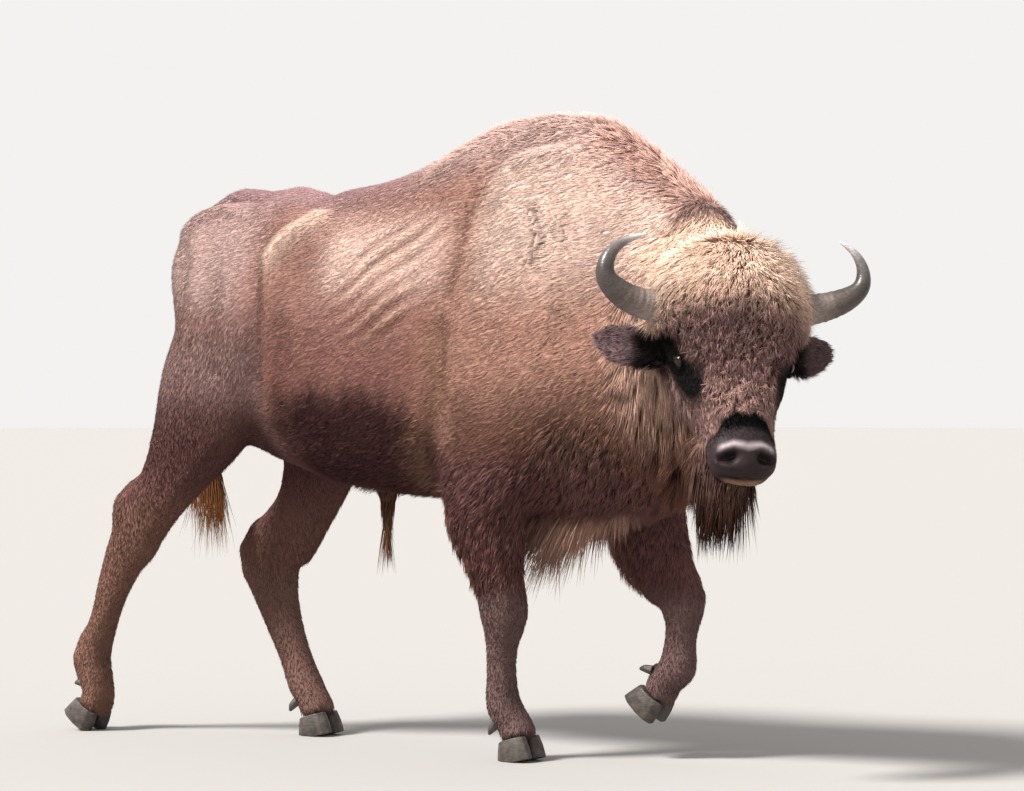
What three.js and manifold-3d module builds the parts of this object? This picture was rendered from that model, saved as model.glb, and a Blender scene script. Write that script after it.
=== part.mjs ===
// A wisent bull at life size, walking with its head turned to its right.
// Millimetres, +Z up, +X forward, +Y to the animal's left. Heights are above the floor.
// Every solid reaches to the tips of the coat. The flesh is lofted as one body with its legs and
// head, then parted with thin cuts where a person would name its parts.
import * as THREE from "three";
import { mergeVertices } from "three/addons/utils/BufferGeometryUtils.js";
import Module from "manifold-3d";

const wasm = await Module();
wasm.setup();

const GAP = 0.3; // clear space between neighbouring pieces
const HUMP_HEIGHT = 1808; // floor to the top of the mane on the hump
const BODY_AROUND = 20; // sides of a torso ring
const HEAD_AROUND = 20; // sides of a head ring
const LEG_AROUND = 10; // sides of a leg ring
const LEFT = 1;
const RIGHT = -1;

// --- Where the body is parted ---------------------------------------------------------------

const NECK_CUT = { through: [330, 0, 1250], facing: [1, -0.12, 0.1] };
const HEAD_CUT = { through: [592, -168, 1180], facing: [0.66, -0.6, 0.22] };
const FORELEG_CUT = 690; // height of the cut below the elbow
const HINDLEG_CUT = 905; // height of the cut at the flank

// --- Torso: rings from the rump to the poll, each upright and square to the spine ---------------
// x and y place the ring, top and bottom are its back line and belly line, widest is the height of
// its greatest half width. keel is how square it is below, pinch how narrow towards the spine.

const TORSO = [
  { x: -1352, y: 0, top: 1530, bottom: 1180, widest: 1345, half: 66, keel: 2.0, pinch: 0.0 },
  { x: -1310, y: 0, top: 1556, bottom: 1060, widest: 1320, half: 138, keel: 2.0, pinch: 0.1 },
  { x: -1230, y: 0, top: 1594, bottom: 960, widest: 1255, half: 202, keel: 2.1, pinch: 0.22 },
  { x: -1120, y: 0, top: 1618, bottom: 880, widest: 1215, half: 246, keel: 2.2, pinch: 0.3 },
  { x: -980, y: 0, top: 1612, bottom: 815, widest: 1190, half: 262, keel: 2.1, pinch: 0.28 },
  { x: -840, y: 0, top: 1602, bottom: 772, widest: 1150, half: 268, keel: 2.0, pinch: 0.26 },
  { x: -700, y: 0, top: 1614, bottom: 742, widest: 1100, half: 286, keel: 2.0, pinch: 0.3 },
  { x: -560, y: 0, top: 1640, bottom: 728, widest: 1080, half: 304, keel: 2.0, pinch: 0.34 },
  { x: -430, y: 0, top: 1688, bottom: 722, widest: 1080, half: 313, keel: 2.0, pinch: 0.4 },
  { x: -290, y: 0, top: 1764, bottom: 712, widest: 1085, half: 315, keel: 2.0, pinch: 0.48 },
  { x: -145, y: 0, top: 1799, bottom: 690, widest: 1090, half: 308, keel: 2.0, pinch: 0.5 },
  { x: 0, y: 0, top: HUMP_HEIGHT, bottom: 662, widest: 1090, half: 298, keel: 2.0, pinch: 0.5 },
  { x: 130, y: 0, top: 1790, bottom: 644, widest: 1085, half: 286, keel: 1.9, pinch: 0.48 },
  { x: 255, y: -12, top: 1720, bottom: 668, widest: 1090, half: 258, keel: 1.9, pinch: 0.42 },
  { x: 370, y: -45, top: 1648, bottom: 716, widest: 1110, half: 226, keel: 1.9, pinch: 0.32 },
  { x: 475, y: -98, top: 1580, bottom: 782, widest: 1135, half: 200, keel: 1.9, pinch: 0.2 },
  { x: 560, y: -160, top: 1508, bottom: 845, widest: 1150, half: 182, keel: 1.9, pinch: 0.1 },
  { x: 618, y: -212, top: 1440, bottom: 900, widest: 1150, half: 160, keel: 2.0, pinch: 0.0 },
];

// Bones and muscles that stand out from the rings, and hollows between them. at is the middle,
// reach the spread along each axis, push the way the surface moves. Both sides have each one.
const TORSO_FORM = [
  { name: "hip bone", at: [-838, 235, 1400], reach: [125, 170, 125], push: [0, 34, 16] },
  { name: "flank hollow", at: [-660, 262, 1320], reach: [120, 190, 130], push: [0, -24, 0] },
  { name: "rump hollow", at: [-1020, 225, 1410], reach: [110, 170, 95], push: [0, -20, -6] },
  { name: "thigh joint", at: [-1120, 250, 1190], reach: [130, 180, 140], push: [0, 20, 0] },
  { name: "pin bone", at: [-1300, 110, 1390], reach: [80, 100, 90], push: [-16, 22, 0] },
  { name: "shoulder blade", at: [80, 190, 1430], reach: [120, 200, 200], push: [0, 26, 0] },
  { name: "shoulder muscle", at: [60, 285, 1060], reach: [180, 200, 190], push: [16, 26, 0] },
  { name: "behind shoulder", at: [-215, 285, 1130], reach: [110, 200, 240], push: [0, -14, 0] },
  { name: "rib barrel", at: [-470, 300, 1060], reach: [230, 200, 190], push: [0, 10, 0] },
];

// --- Head: rings from nape to nose along the face, in the face's own frame ------------------------
// The frame's origin lies midway between the eyes, x runs down the face to the nose, z stands out
// of the forehead. top and bottom are the profile, half the half width at the height called widest.

const HEAD = { at: [700, -280, 1095], heading: -42, roll: -3.5, pitch: 54 };
const SKULL = [
  { x: -320, top: 120, bottom: -150, widest: 0, half: 130, keel: 2.0 },
  { x: -250, top: 208, bottom: -235, widest: 20, half: 205, keel: 2.0 },
  { x: -170, top: 208, bottom: -262, widest: 40, half: 234, keel: 1.8 },
  { x: -90, top: 160, bottom: -270, widest: 25, half: 214, keel: 1.7 },
  { x: -15, top: 108, bottom: -248, widest: 5, half: 178, keel: 1.7 },
  { x: 50, top: 82, bottom: -218, widest: -20, half: 152, keel: 1.8 },
  { x: 110, top: 66, bottom: -194, widest: -32, half: 127, keel: 1.9 },
  { x: 165, top: 54, bottom: -178, widest: -40, half: 108, keel: 1.9 },
  { x: 215, top: 44, bottom: -168, widest: -42, half: 98, keel: 1.9 },
  { x: 262, top: 35, bottom: -158, widest: -42, half: 95, keel: 1.9 },
  { x: 300, top: 18, bottom: -136, widest: -44, half: 88, keel: 1.8 },
  { x: 326, top: -6, bottom: -100, widest: -48, half: 72, keel: 2.0 },
  { x: 336, top: -22, bottom: -82, widest: -50, half: 52, keel: 2.0 },
];
const SKULL_FORM = [
  { name: "brow", at: [-22, 150, 62], reach: [50, 60, 40], push: [0, 10, 10] },
  { name: "eye hollow", at: [8, 172, 6], reach: [46, 60, 38], push: [0, -22, 0] },
  { name: "cheek hollow", at: [110, 135, -60], reach: [75, 60, 60], push: [0, -10, 0] },
  { name: "mouth corner", at: [245, 92, -112], reach: [60, 45, 24], push: [0, -12, 0] },
  { name: "nostril wing", at: [298, 72, -8], reach: [34, 34, 34], push: [4, 8, 4] },
  { name: "nostril", at: [304, 48, 8], reach: [24, 20, 20], push: [-10, 0, -12] },
];

const EYE = { radius: 25, x: 6, aside: 136, up: 6 };

// Horns and ears are placed in the head's level frame: x forward, y left, z up.
const HORNS = {
  left: [
    { at: [-58, 135, 146], radius: 44 },
    { at: [-52, 222, 157], radius: 42 },
    { at: [-38, 292, 180], radius: 35 },
    { at: [-30, 347, 220], radius: 25 },
    { at: [-34, 350, 272], radius: 16 },
    { at: [-44, 325, 316], radius: 9 },
    { at: [-52, 289, 340], radius: 3 },
  ],
  right: [
    { at: [-58, 135, 132], radius: 44 },
    { at: [-52, 222, 140], radius: 42 },
    { at: [-38, 292, 160], radius: 37 },
    { at: [-30, 349, 206], radius: 28 },
    { at: [-34, 341, 264], radius: 19 },
    { at: [-44, 296, 304], radius: 10 },
    { at: [-52, 240, 324], radius: 3 },
  ],
};
const EAR = [
  { at: [-92, 140, 30], front: 24, back: 22, side: 38 },
  { at: [-118, 200, 32], front: 22, back: 24, side: 56 },
  { at: [-145, 252, 36], front: 17, back: 24, side: 62 },
  { at: [-170, 298, 48], front: 13, back: 18, side: 48 },
  { at: [-184, 332, 60], front: 8, back: 9, side: 20 },
];

// --- Hanging hair, as the outline of each bunch -------------------------------------------------

const BEARD = [
  { at: [706, -362, 890], front: 62, back: 84, side: 70 },
  { at: [716, -368, 815], front: 76, back: 96, side: 90 },
  { at: [722, -372, 745], front: 66, back: 84, side: 88 },
  { at: [724, -374, 695], front: 46, back: 56, side: 66 },
  { at: [722, -374, 652], front: 16, back: 20, side: 30 },
];
const THROAT_MANE = [
  { x: -125, y: 0, top: 740, bottom: 672, widest: 715, half: 30, keel: 1.6 },
  { x: -70, y: 0, top: 780, bottom: 600, widest: 710, half: 60, keel: 1.5 },
  { x: 0, y: -4, top: 800, bottom: 545, widest: 700, half: 84, keel: 1.5 },
  { x: 80, y: -12, top: 810, bottom: 572, widest: 705, half: 92, keel: 1.5 },
  { x: 170, y: -26, top: 820, bottom: 628, widest: 725, half: 88, keel: 1.5 },
  { x: 270, y: -50, top: 850, bottom: 690, widest: 755, half: 76, keel: 1.5 },
  { x: 370, y: -88, top: 890, bottom: 752, widest: 810, half: 64, keel: 1.6 },
  { x: 450, y: -130, top: 930, bottom: 815, widest: 865, half: 50, keel: 1.7 },
];
const SHEATH = [
  { at: [-640, 0, 800], front: 90, back: 80, side: 56 },
  { at: [-632, 0, 720], front: 64, back: 58, side: 44 },
  { at: [-628, 0, 665], front: 38, back: 38, side: 32 },
  { at: [-630, 0, 600], front: 26, back: 34, side: 26 },
  { at: [-634, 0, 532], front: 8, back: 10, side: 8 },
];
const TAIL = [
  { at: [-1290, 0, 1520], front: 44, back: 40, side: 40 },
  { at: [-1360, 0, 1494], front: 38, back: 32, side: 36 },
  { at: [-1386, 0, 1410], front: 30, back: 28, side: 34 },
  { at: [-1382, 0, 1280], front: 25, back: 26, side: 29 },
  { at: [-1376, 0, 1130], front: 24, back: 24, side: 28 },
  { at: [-1370, 6, 985], front: 24, back: 26, side: 28 },
];
const TAIL_TUFT = [
  { at: [-1365, 6, 983], front: 24, back: 26, side: 28 },
  { at: [-1350, 10, 880], front: 38, back: 40, side: 36 },
  { at: [-1322, 14, 760], front: 44, back: 44, side: 42 },
  { at: [-1292, 18, 668], front: 32, back: 34, side: 32 },
  { at: [-1270, 20, 596], front: 8, back: 8, side: 8 },
];

// --- Legs: rings down each limb. front and back run along the stride, side is across it ------------

const LEGS = {
  right_fore: {
    cut: FORELEG_CUT,
    rings: [
      { name: "shoulder", at: [0, -175, 1080], front: 150, back: 170, side: 92 },
      { name: "upper arm", at: [-85, -188, 880], front: 150, back: 165, side: 104 },
      { name: "elbow", at: [-158, -188, 735], front: 128, back: 132, side: 98 },
      { name: "forearm", at: [-150, -168, 610], front: 108, back: 108, side: 80 },
      { name: "lower forearm", at: [-136, -146, 500], front: 76, back: 76, side: 64 },
      { name: "knee", at: [-130, -130, 405], front: 70, back: 74, side: 64 },
      { name: "below knee", at: [-142, -122, 322], front: 44, back: 50, side: 46 },
      { name: "cannon", at: [-149, -115, 228], front: 41, back: 45, side: 43 },
      { name: "fetlock", at: [-144, -108, 150], front: 46, back: 54, side: 54 },
    ],
    foot: { at: [-92, -102, 0], heading: -4, tip: 0 },
  },
  left_fore: {
    cut: FORELEG_CUT,
    rings: [
      { name: "shoulder", at: [30, 175, 1080], front: 150, back: 165, side: 92 },
      { name: "upper arm", at: [60, 188, 880], front: 150, back: 160, side: 102 },
      { name: "elbow", at: [118, 186, 735], front: 132, back: 138, side: 96 },
      { name: "forearm", at: [160, 178, 620], front: 112, back: 140, side: 80 },
      { name: "lower forearm", at: [212, 170, 525], front: 90, back: 112, side: 66 },
      { name: "knee", at: [264, 163, 442], front: 74, back: 74, side: 62 },
      { name: "below knee", at: [264, 160, 372], front: 52, back: 46, side: 46 },
      { name: "cannon", at: [256, 158, 318], front: 52, back: 42, side: 44 },
      { name: "fetlock", at: [246, 156, 258], front: 66, back: 46, side: 54 },
    ],
    foot: { at: [146, 154, 138], heading: 0, tip: 55 },
  },
  right_hind: {
    cut: HINDLEG_CUT,
    rings: [
      { name: "hip", at: [-1100, -150, 1240], front: 170, back: 150, side: 92 },
      { name: "thigh", at: [-1120, -178, 1080], front: 205, back: 190, side: 96 },
      { name: "stifle", at: [-1165, -190, 940], front: 178, back: 176, side: 90 },
      { name: "upper gaskin", at: [-1240, -184, 820], front: 120, back: 138, side: 76 },
      { name: "gaskin", at: [-1335, -172, 715], front: 92, back: 98, side: 62 },
      { name: "hock point", at: [-1424, -163, 630], front: 98, back: 124, side: 58 },
      { name: "hock", at: [-1460, -157, 580], front: 96, back: 84, side: 55 },
      { name: "below hock", at: [-1500, -150, 530], front: 80, back: 68, side: 49 },
      { name: "cannon", at: [-1556, -142, 415], front: 52, back: 52, side: 43 },
      { name: "low cannon", at: [-1598, -134, 310], front: 42, back: 50, side: 42 },
      { name: "fetlock", at: [-1638, -126, 212], front: 48, back: 80, side: 52 },
    ],
    foot: { at: [-1680, -124, 27], heading: -2, tip: 48 },
  },
  left_hind: {
    cut: HINDLEG_CUT,
    rings: [
      { name: "hip", at: [-1070, 150, 1240], front: 170, back: 150, side: 92 },
      { name: "thigh", at: [-1050, 180, 1060], front: 205, back: 190, side: 98 },
      { name: "stifle", at: [-985, 192, 915], front: 160, back: 190, side: 92 },
      { name: "upper gaskin", at: [-1000, 184, 795], front: 110, back: 176, side: 76 },
      { name: "gaskin", at: [-1074, 170, 672], front: 112, back: 100, side: 64 },
      { name: "above hock", at: [-1130, 163, 600], front: 124, back: 98, side: 60 },
      { name: "hock", at: [-1174, 158, 524], front: 112, back: 140, side: 56 },
      { name: "below hock", at: [-1164, 152, 446], front: 82, back: 98, side: 49 },
      { name: "cannon", at: [-1122, 148, 330], front: 54, back: 70, side: 44 },
      { name: "low cannon", at: [-1078, 146, 230], front: 45, back: 58, side: 43 },
      { name: "fetlock", at: [-1040, 144, 148], front: 47, back: 58, side: 54 },
    ],
    foot: { at: [-985, 142, 0], heading: 4, tip: 0 },
  },
};

// The end of every leg, in the foot's own frame: x to the toe, z up from the sole.
const PASTERN = [
  { name: "pastern", at: [-26, 0, 104], front: 46, back: 48, side: 54 },
  { name: "coronet", at: [-12, 0, 76], front: 50, back: 48, side: 57 },
  { name: "hoof head", at: [-10, 0, 62.6], front: 49, back: 47, side: 57 },
];

// Half of a cloven hoof, in the foot's own frame: x to the toe, z up from the sole.
const CLAW = [
  { name: "sole", at: [6, 31, 0], front: 66, back: 54, side: 28 },
  { name: "wall", at: [-2, 31, 34], front: 56, back: 50, side: 28 },
  { name: "coronet", at: [-10, 30, 62], front: 46, back: 44, side: 26 },
];
const DEWCLAW = [
  { at: [-64, 30, 102], front: 15, back: 15, side: 13 },
  { at: [-82, 32, 84], front: 11, back: 12, side: 11 },
  { at: [-90, 33, 70], front: 4, back: 4, side: 4 },
];

// --- Materials ------------------------------------------------------------------------------------

const finish = (color, roughness) => new THREE.MeshStandardMaterial({ color, roughness, metalness: 0 });
const COLOURS = {
  flank: [0x8c6552, 0.9],
  mane: [0x6d4c3f, 0.92],
  crown: [0x9c7c60, 0.92],
  leg: [0x4a2f28, 0.88],
  beard: [0x3a2521, 0.9],
  tuft: [0x6a4023, 0.9],
  ear: [0x5a4136, 0.9],
  horn: [0x4d4a48, 0.45],
  hoof: [0x34302f, 0.5],
  eye: [0x120d0b, 0.08],
};

// --- Making shapes --------------------------------------------------------------------------------

/** The fields of a ring that change smoothly from one ring to the next. */
const RING_FIELDS = ["x", "y", "z", "left", "right", "up", "down", "keel", "pinch"];

/** Power of a sine or cosine that keeps its sign, for rounded square outlines. */
function signedPower(value, power) {
  return Math.sign(value) * Math.abs(value) ** power;
}

/** Rows along a loft: some between each two rings, and close rows in each rounded end. */
function loftRows(places, perRing, startRound, endRound) {
  const length = places.at(-1);
  const turns = [28, 58].map(THREE.MathUtils.degToRad);
  const rows = [];
  if (startRound > 0) {
    rows.push({ along: 0, size: 0 });
    for (const turn of turns) {
      rows.push({ along: startRound * (1 - Math.cos(turn)), size: Math.sin(turn) });
    }
  } else {
    rows.push({ along: 0, size: 0 }, { along: 0, size: 1 });
  }
  for (let i = 1; i < places.length; i += 1) {
    for (let k = 1; k <= perRing; k += 1) {
      const along = places[i - 1] + ((places[i] - places[i - 1]) * k) / perRing;
      if (along > startRound * 1.1 && along < length - endRound * 1.1 - 1e-6) {
        rows.push({ along, size: 1 });
      }
    }
  }
  if (endRound > 0) {
    for (const turn of turns.slice().reverse()) {
      rows.push({ along: length - endRound * (1 - Math.cos(turn)), size: Math.sin(turn) });
    }
    rows.push({ along: length, size: 0 });
  } else {
    rows.push({ along: length, size: 1 }, { along: length, size: 0 });
  }
  return rows;
}

/**
 * A closed skin over rings. rings hold a centre, half widths left and right, and heights up and
 * down. With upright set the rings stand vertical; otherwise they are square to the centre line,
 * with their width along across.
 */
function loft(rings, { around, perRing = 1, startRound = 0, endRound = 0, upright = false,
  grow = 0, across = new THREE.Vector3(0, 1, 0) }) {
  const places = [0];
  for (let i = 1; i < rings.length; i += 1) {
    const step = Math.hypot(rings[i].x - rings[i - 1].x, rings[i].y - rings[i - 1].y,
      rings[i].z - rings[i - 1].z);
    places.push(places[i - 1] + step);
  }
  const length = places[places.length - 1];
  const values = rings.flatMap((ring) => RING_FIELDS.map((field) => ring[field]));
  const between = new THREE.CubicInterpolant(places, values, RING_FIELDS.length);
  const ringAt = (along) => {
    const found = between.evaluate(THREE.MathUtils.clamp(along, 0, length));
    return Object.fromEntries(RING_FIELDS.map((field, k) => [field, found[k]]));
  };
  const centreAt = (along) => {
    const ring = ringAt(along);
    return new THREE.Vector3(ring.x, ring.y, ring.z);
  };
  const levels = loftRows(places, perRing, startRound, endRound);

  const geometry = new THREE.SphereGeometry(1, around, levels.length - 1);
  const points = geometry.attributes.position;
  for (let i = 0; i < points.count; i += 1) {
    const level = levels[Math.floor(i / (around + 1))];
    const angle = (2 * Math.PI * (i % (around + 1))) / around;
    const ring = ringAt(level.along);
    const nudge = length * 0.01;
    const ahead = centreAt(level.along + nudge).sub(centreAt(level.along - nudge)).normalize();
    if (upright) {
      ahead.setZ(0).normalize();
    }
    const side = upright
      ? new THREE.Vector3(-ahead.y, ahead.x, 0)
      : across.clone().addScaledVector(ahead, -across.dot(ahead)).normalize();
    const rise = ahead.clone().cross(side);
    const c = Math.cos(angle);
    const s = Math.sin(angle);
    const power = 2 / (s > 0 ? 2.1 : ring.keel);
    const narrowed = s > 0 ? 1 - ring.pinch * s * s : 1;
    const wide = ((c > 0 ? ring.left : ring.right) * narrowed + grow) * level.size;
    const tall = ((s > 0 ? ring.up : ring.down) + grow) * level.size;
    const place = new THREE.Vector3(ring.x, ring.y, ring.z)
      .addScaledVector(side, wide * signedPower(c, power))
      .addScaledVector(rise, tall * signedPower(s, power));
    if (level.size === 0) {
      place.addScaledVector(ahead, i < points.count / 2 ? -grow : grow);
    }
    points.setXYZ(i, place.x, place.y, place.z);
  }
  return geometry;
}

/** Torso and skull rings, given by their top and bottom, as loft rings. */
function profileRing({ x, y = 0, top, bottom, widest, half, keel, pinch = 0 }) {
  return { x, y, z: widest, left: half, right: half, up: top - widest, down: widest - bottom,
    keel, pinch };
}

/** Limb rings, given by their depth before and behind the bone, as loft rings. */
function limbRing({ at: [x, y, z], front, back, side }) {
  return { x, y, z, left: side, right: side, up: front, down: back, keel: 2.1, pinch: 0 };
}

/** Horn rings, which are round. */
function roundRing({ at: [x, y, z], radius }) {
  return { x, y, z, left: radius, right: radius, up: radius, down: radius, keel: 2, pinch: 0 };
}

/** The same rings on the other side of the animal. */
function mirrored(rings) {
  return rings.map((ring) => ({ ...ring, at: [ring.at[0], -ring.at[1], ring.at[2]] }));
}

/** Moves a geometry's points by each swelling or hollow, on both sides of the mid plane. */
function shapeForm(geometry, forms) {
  const points = geometry.attributes.position;
  const point = new THREE.Vector3();
  for (let i = 0; i < points.count; i += 1) {
    point.fromBufferAttribute(points, i);
    const start = point.clone();
    for (const { at, reach, push } of forms) {
      for (const side of [LEFT, RIGHT]) {
        const away = Math.hypot((start.x - at[0]) / reach[0], (start.y - side * at[1]) / reach[1],
          (start.z - at[2]) / reach[2]);
        const share = Math.exp(-away * away);
        point.x += push[0] * share;
        point.y += side * push[1] * share;
        point.z += push[2] * share;
      }
    }
    points.setXYZ(i, point.x, point.y, point.z);
  }
  return geometry;
}

/** A closed geometry as a solid that can be joined and cut, its faces pointing out. */
function solid(geometry) {
  const bare = geometry.clone();
  bare.deleteAttribute("normal");
  bare.deleteAttribute("uv");
  const merged = mergeVertices(bare, 1e-3);
  const corners = merged.attributes.position.array;
  const index = [];
  for (let i = 0; i < merged.index.count; i += 3) {
    const [a, b, c] = [merged.index.getX(i), merged.index.getX(i + 1), merged.index.getX(i + 2)];
    if (a !== b && b !== c && c !== a) {
      index.push(a, b, c);
    }
  }
  if (enclosedVolume(corners, index) < 0) {
    index.reverse();
  }
  return new wasm.Manifold(new wasm.Mesh({ numProp: 3, vertProperties: new Float32Array(corners),
    triVerts: new Uint32Array(index) }));
}

/** Volume inside a closed mesh, negative when its faces point inwards. */
function enclosedVolume(corners, index) {
  const [a, b, c] = [new THREE.Vector3(), new THREE.Vector3(), new THREE.Vector3()];
  let volume = 0;
  for (let i = 0; i < index.length; i += 3) {
    a.fromArray(corners, index[i] * 3);
    b.fromArray(corners, index[i + 1] * 3);
    c.fromArray(corners, index[i + 2] * 3);
    volume += a.dot(b.cross(c)) / 6;
  }
  return volume;
}

/** A solid as a named mesh with its own material. */
function mesh(name, body, [color, roughness]) {
  const { numProp, vertProperties, triVerts } = body.getMesh();
  const geometry = new THREE.BufferGeometry();
  const places = new Float32Array((vertProperties.length / numProp) * 3);
  for (let i = 0; i < places.length / 3; i += 1) {
    places.set(vertProperties.slice(i * numProp, i * numProp + 3), i * 3);
  }
  geometry.setAttribute("position", new THREE.BufferAttribute(places, 3));
  geometry.setIndex(Array.from(triVerts));
  geometry.computeVertexNormals();
  const made = new THREE.Mesh(geometry, finish(color, roughness));
  made.name = name;
  return made;
}

/** The parts of a body before and behind a plane, with the gap between them. */
function part(body, through, facing) {
  const normal = new THREE.Vector3(...facing).normalize();
  const offset = normal.dot(new THREE.Vector3(...through));
  const ahead = body.trimByPlane(normal.toArray(), offset + GAP / 2);
  const behind = body.trimByPlane(normal.clone().negate().toArray(), -offset + GAP / 2);
  return [ahead, behind];
}

// --- Head frames ----------------------------------------------------------------------------------

const radians = THREE.MathUtils.degToRad;
const levelFrame = new THREE.Matrix4().makeTranslation(...HEAD.at)
  .multiply(new THREE.Matrix4().makeRotationZ(radians(HEAD.heading)))
  .multiply(new THREE.Matrix4().makeRotationX(radians(HEAD.roll)));
const faceFrame = levelFrame.clone()
  .multiply(new THREE.Matrix4().makeRotationY(radians(HEAD.pitch)));

/** An eyeball, grown all round by the given amount. */
function eyeball(side, grow) {
  const geometry = new THREE.SphereGeometry(EYE.radius + grow, 10, 6);
  geometry.translate(EYE.x, side * EYE.aside, EYE.up);
  return solid(geometry.applyMatrix4(faceFrame));
}

/** A horn, grown all round by the given amount. */
function horn(side, grow) {
  const rings = (side === LEFT ? HORNS.left : mirrored(HORNS.right)).map(roundRing);
  const geometry = loft(rings, { around: 10, perRing: 2, grow, across: new THREE.Vector3(1, 0, 0) });
  return solid(geometry.applyMatrix4(levelFrame));
}

/** An ear, grown all round by the given amount. */
function ear(side, grow) {
  const rings = (side === LEFT ? EAR : mirrored(EAR)).map(limbRing);
  const turned = rings.map((ring) => (side === LEFT ? ring : { ...ring, up: ring.down, down: ring.up }));
  const geometry = loft(turned, { around: 8, perRing: 2, endRound: 18, grow,
    across: new THREE.Vector3(0, 0, 1) });
  return solid(geometry.applyMatrix4(levelFrame));
}

/** A bunch of hanging hair, grown all round by the given amount. */
function bunch(rings, grow, heading = 0) {
  const across = new THREE.Vector3(0, 1, 0).applyAxisAngle(new THREE.Vector3(0, 0, 1),
    radians(heading));
  return solid(loft(rings.map(limbRing), { around: 10, endRound: 12, grow, across }));
}

/** The curtain of hair under the throat and chest, grown all round by the given amount. */
function throatMane(grow) {
  return solid(loft(THROAT_MANE.map(profileRing),
    { around: 12, perRing: 1, startRound: 20, endRound: 40, upright: true, grow }));
}

/** The tail down to its tuft, grown all round by the given amount. */
function tail(grow) {
  return solid(loft(TAIL.map(limbRing), { around: 8, perRing: 2, startRound: 20, grow }));
}

// --- Feet -----------------------------------------------------------------------------------------

/** Where a foot stands: turned to its heading, and tipped onto or past its toe. */
function footFrame({ at, heading, tip }) {
  return new THREE.Matrix4().makeTranslation(...at)
    .multiply(new THREE.Matrix4().makeRotationZ(radians(heading)))
    .multiply(new THREE.Matrix4().makeRotationY(radians(tip)));
}

/** One claw of a hoof or one dewclaw, on the given side of the foot. */
function footPiece(rings, foot, side, around, grow) {
  const placed = (side === LEFT ? rings : mirrored(rings)).map(limbRing);
  const geometry = loft(placed, { around, grow });
  return solid(geometry.applyMatrix4(footFrame(foot)));
}

/** The claws and dewclaws of one foot by name, with the floor's level cut flat. */
function footPieces(legName, foot, grow = 0) {
  const pieces = {};
  for (const side of [LEFT, RIGHT]) {
    const inner = legName.startsWith("right") === (side === LEFT);
    const place = `${legName}_${inner ? "inner" : "outer"}`;
    const claw = footPiece(CLAW, foot, side, 10, grow);
    pieces[`hoof_${place}`] = claw.trimByPlane([0, 0, 1], -grow);
    pieces[`dewclaw_${place}`] = footPiece(DEWCLAW, foot, side, 6, grow);
  }
  return pieces;
}

// --- Body -----------------------------------------------------------------------------------------

const torso = solid(shapeForm(
  loft(TORSO.map(profileRing), { around: BODY_AROUND, perRing: 2, startRound: 40, upright: true }),
  TORSO_FORM));
const skull = solid(shapeForm(
  loft(SKULL.map(profileRing), { around: HEAD_AROUND, perRing: 2, startRound: 50, endRound: 8 }),
  SKULL_FORM).applyMatrix4(faceFrame));

/** A leg above and below its cut, grown all round by the given amount. */
function legHalves({ rings, foot, cut }, grow) {
  const frame = footFrame(foot);
  const end = PASTERN.map((ring) => ({ ...ring,
    at: new THREE.Vector3(...ring.at).applyMatrix4(frame).toArray() }));
  const whole = solid(loft([...rings, ...end].map(limbRing),
    { around: LEG_AROUND, perRing: 2, startRound: 60, grow }));
  return part(whole, [0, 0, cut], [0, 0, 1]);
}

let flesh = torso.add(skull);
const lowerLegs = {};
for (const [name, leg] of Object.entries(LEGS)) {
  const [upper, lower] = legHalves(leg, 0);
  const [, room] = legHalves({ ...leg, cut: leg.cut + 2 * GAP }, 2 * GAP);
  flesh = flesh.add(upper).subtract(room);
  lowerLegs[name] = lower;
}

const attached = {
  eye_left: (grow) => eyeball(LEFT, grow),
  eye_right: (grow) => eyeball(RIGHT, grow),
  horn_left: (grow) => horn(LEFT, grow),
  horn_right: (grow) => horn(RIGHT, grow),
  ear_left: (grow) => ear(LEFT, grow),
  ear_right: (grow) => ear(RIGHT, grow),
  beard: (grow) => bunch(BEARD, grow, HEAD.heading),
  throat_mane: (grow) => throatMane(grow),
  sheath: (grow) => bunch(SHEATH, grow),
};
for (const grown of Object.values(attached)) {
  flesh = flesh.subtract(grown(GAP));
}
flesh = flesh.subtract(tail(GAP));

const [headAndNeck, trunk] = part(flesh, NECK_CUT.through, NECK_CUT.facing);
const [head, neck] = part(headAndNeck, HEAD_CUT.through, HEAD_CUT.facing);

const model = new THREE.Group();
const skinParts = new THREE.Group();
skinParts.add(mesh("trunk", trunk, COLOURS.flank));
skinParts.add(mesh("neck", neck, COLOURS.mane));
skinParts.add(mesh("head", head, COLOURS.crown));
skinParts.add(mesh("tail", tail(0), COLOURS.leg));
skinParts.add(mesh("tail_tuft", bunch(TAIL_TUFT, 0), COLOURS.tuft));
model.add(skinParts);

const headPieces = new THREE.Group();
const PIECE_COLOURS = { eye: "eye", horn: "horn", ear: "ear", beard: "beard", throat: "beard",
  sheath: "beard" };
for (const [name, shape] of Object.entries(attached)) {
  headPieces.add(mesh(name, shape(0), COLOURS[PIECE_COLOURS[name.split("_")[0]]]));
}
model.add(headPieces);

for (const [name, leg] of Object.entries(LEGS)) {
  const limb = new THREE.Group();
  let shin = lowerLegs[name];
  for (const grown of Object.values(footPieces(name, leg.foot, GAP))) {
    shin = shin.subtract(grown);
  }
  limb.add(mesh(`leg_${name}`, shin, COLOURS.leg));
  for (const [piece, shape] of Object.entries(footPieces(name, leg.foot))) {
    limb.add(mesh(piece, shape, COLOURS.hoof));
  }
  model.add(limb);
}

// The origin lies on the floor below the middle of the whole animal.
const bounds = new THREE.Box3().setFromObject(model, true);
const middle = bounds.getCenter(new THREE.Vector3());
model.position.set(-middle.x, -middle.y, 0);

const placed = new THREE.Group();
placed.add(model);

export default placed;
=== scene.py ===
"""A wisent bull at life size: one skin under a coat of tufts, with horns, hooves and eyes.

Metres throughout. The animal's own frame has x forward, y to its left and z up, with its origin on
the floor below the hump; ANIMAL_AT places that frame in the scene.
"""

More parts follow.
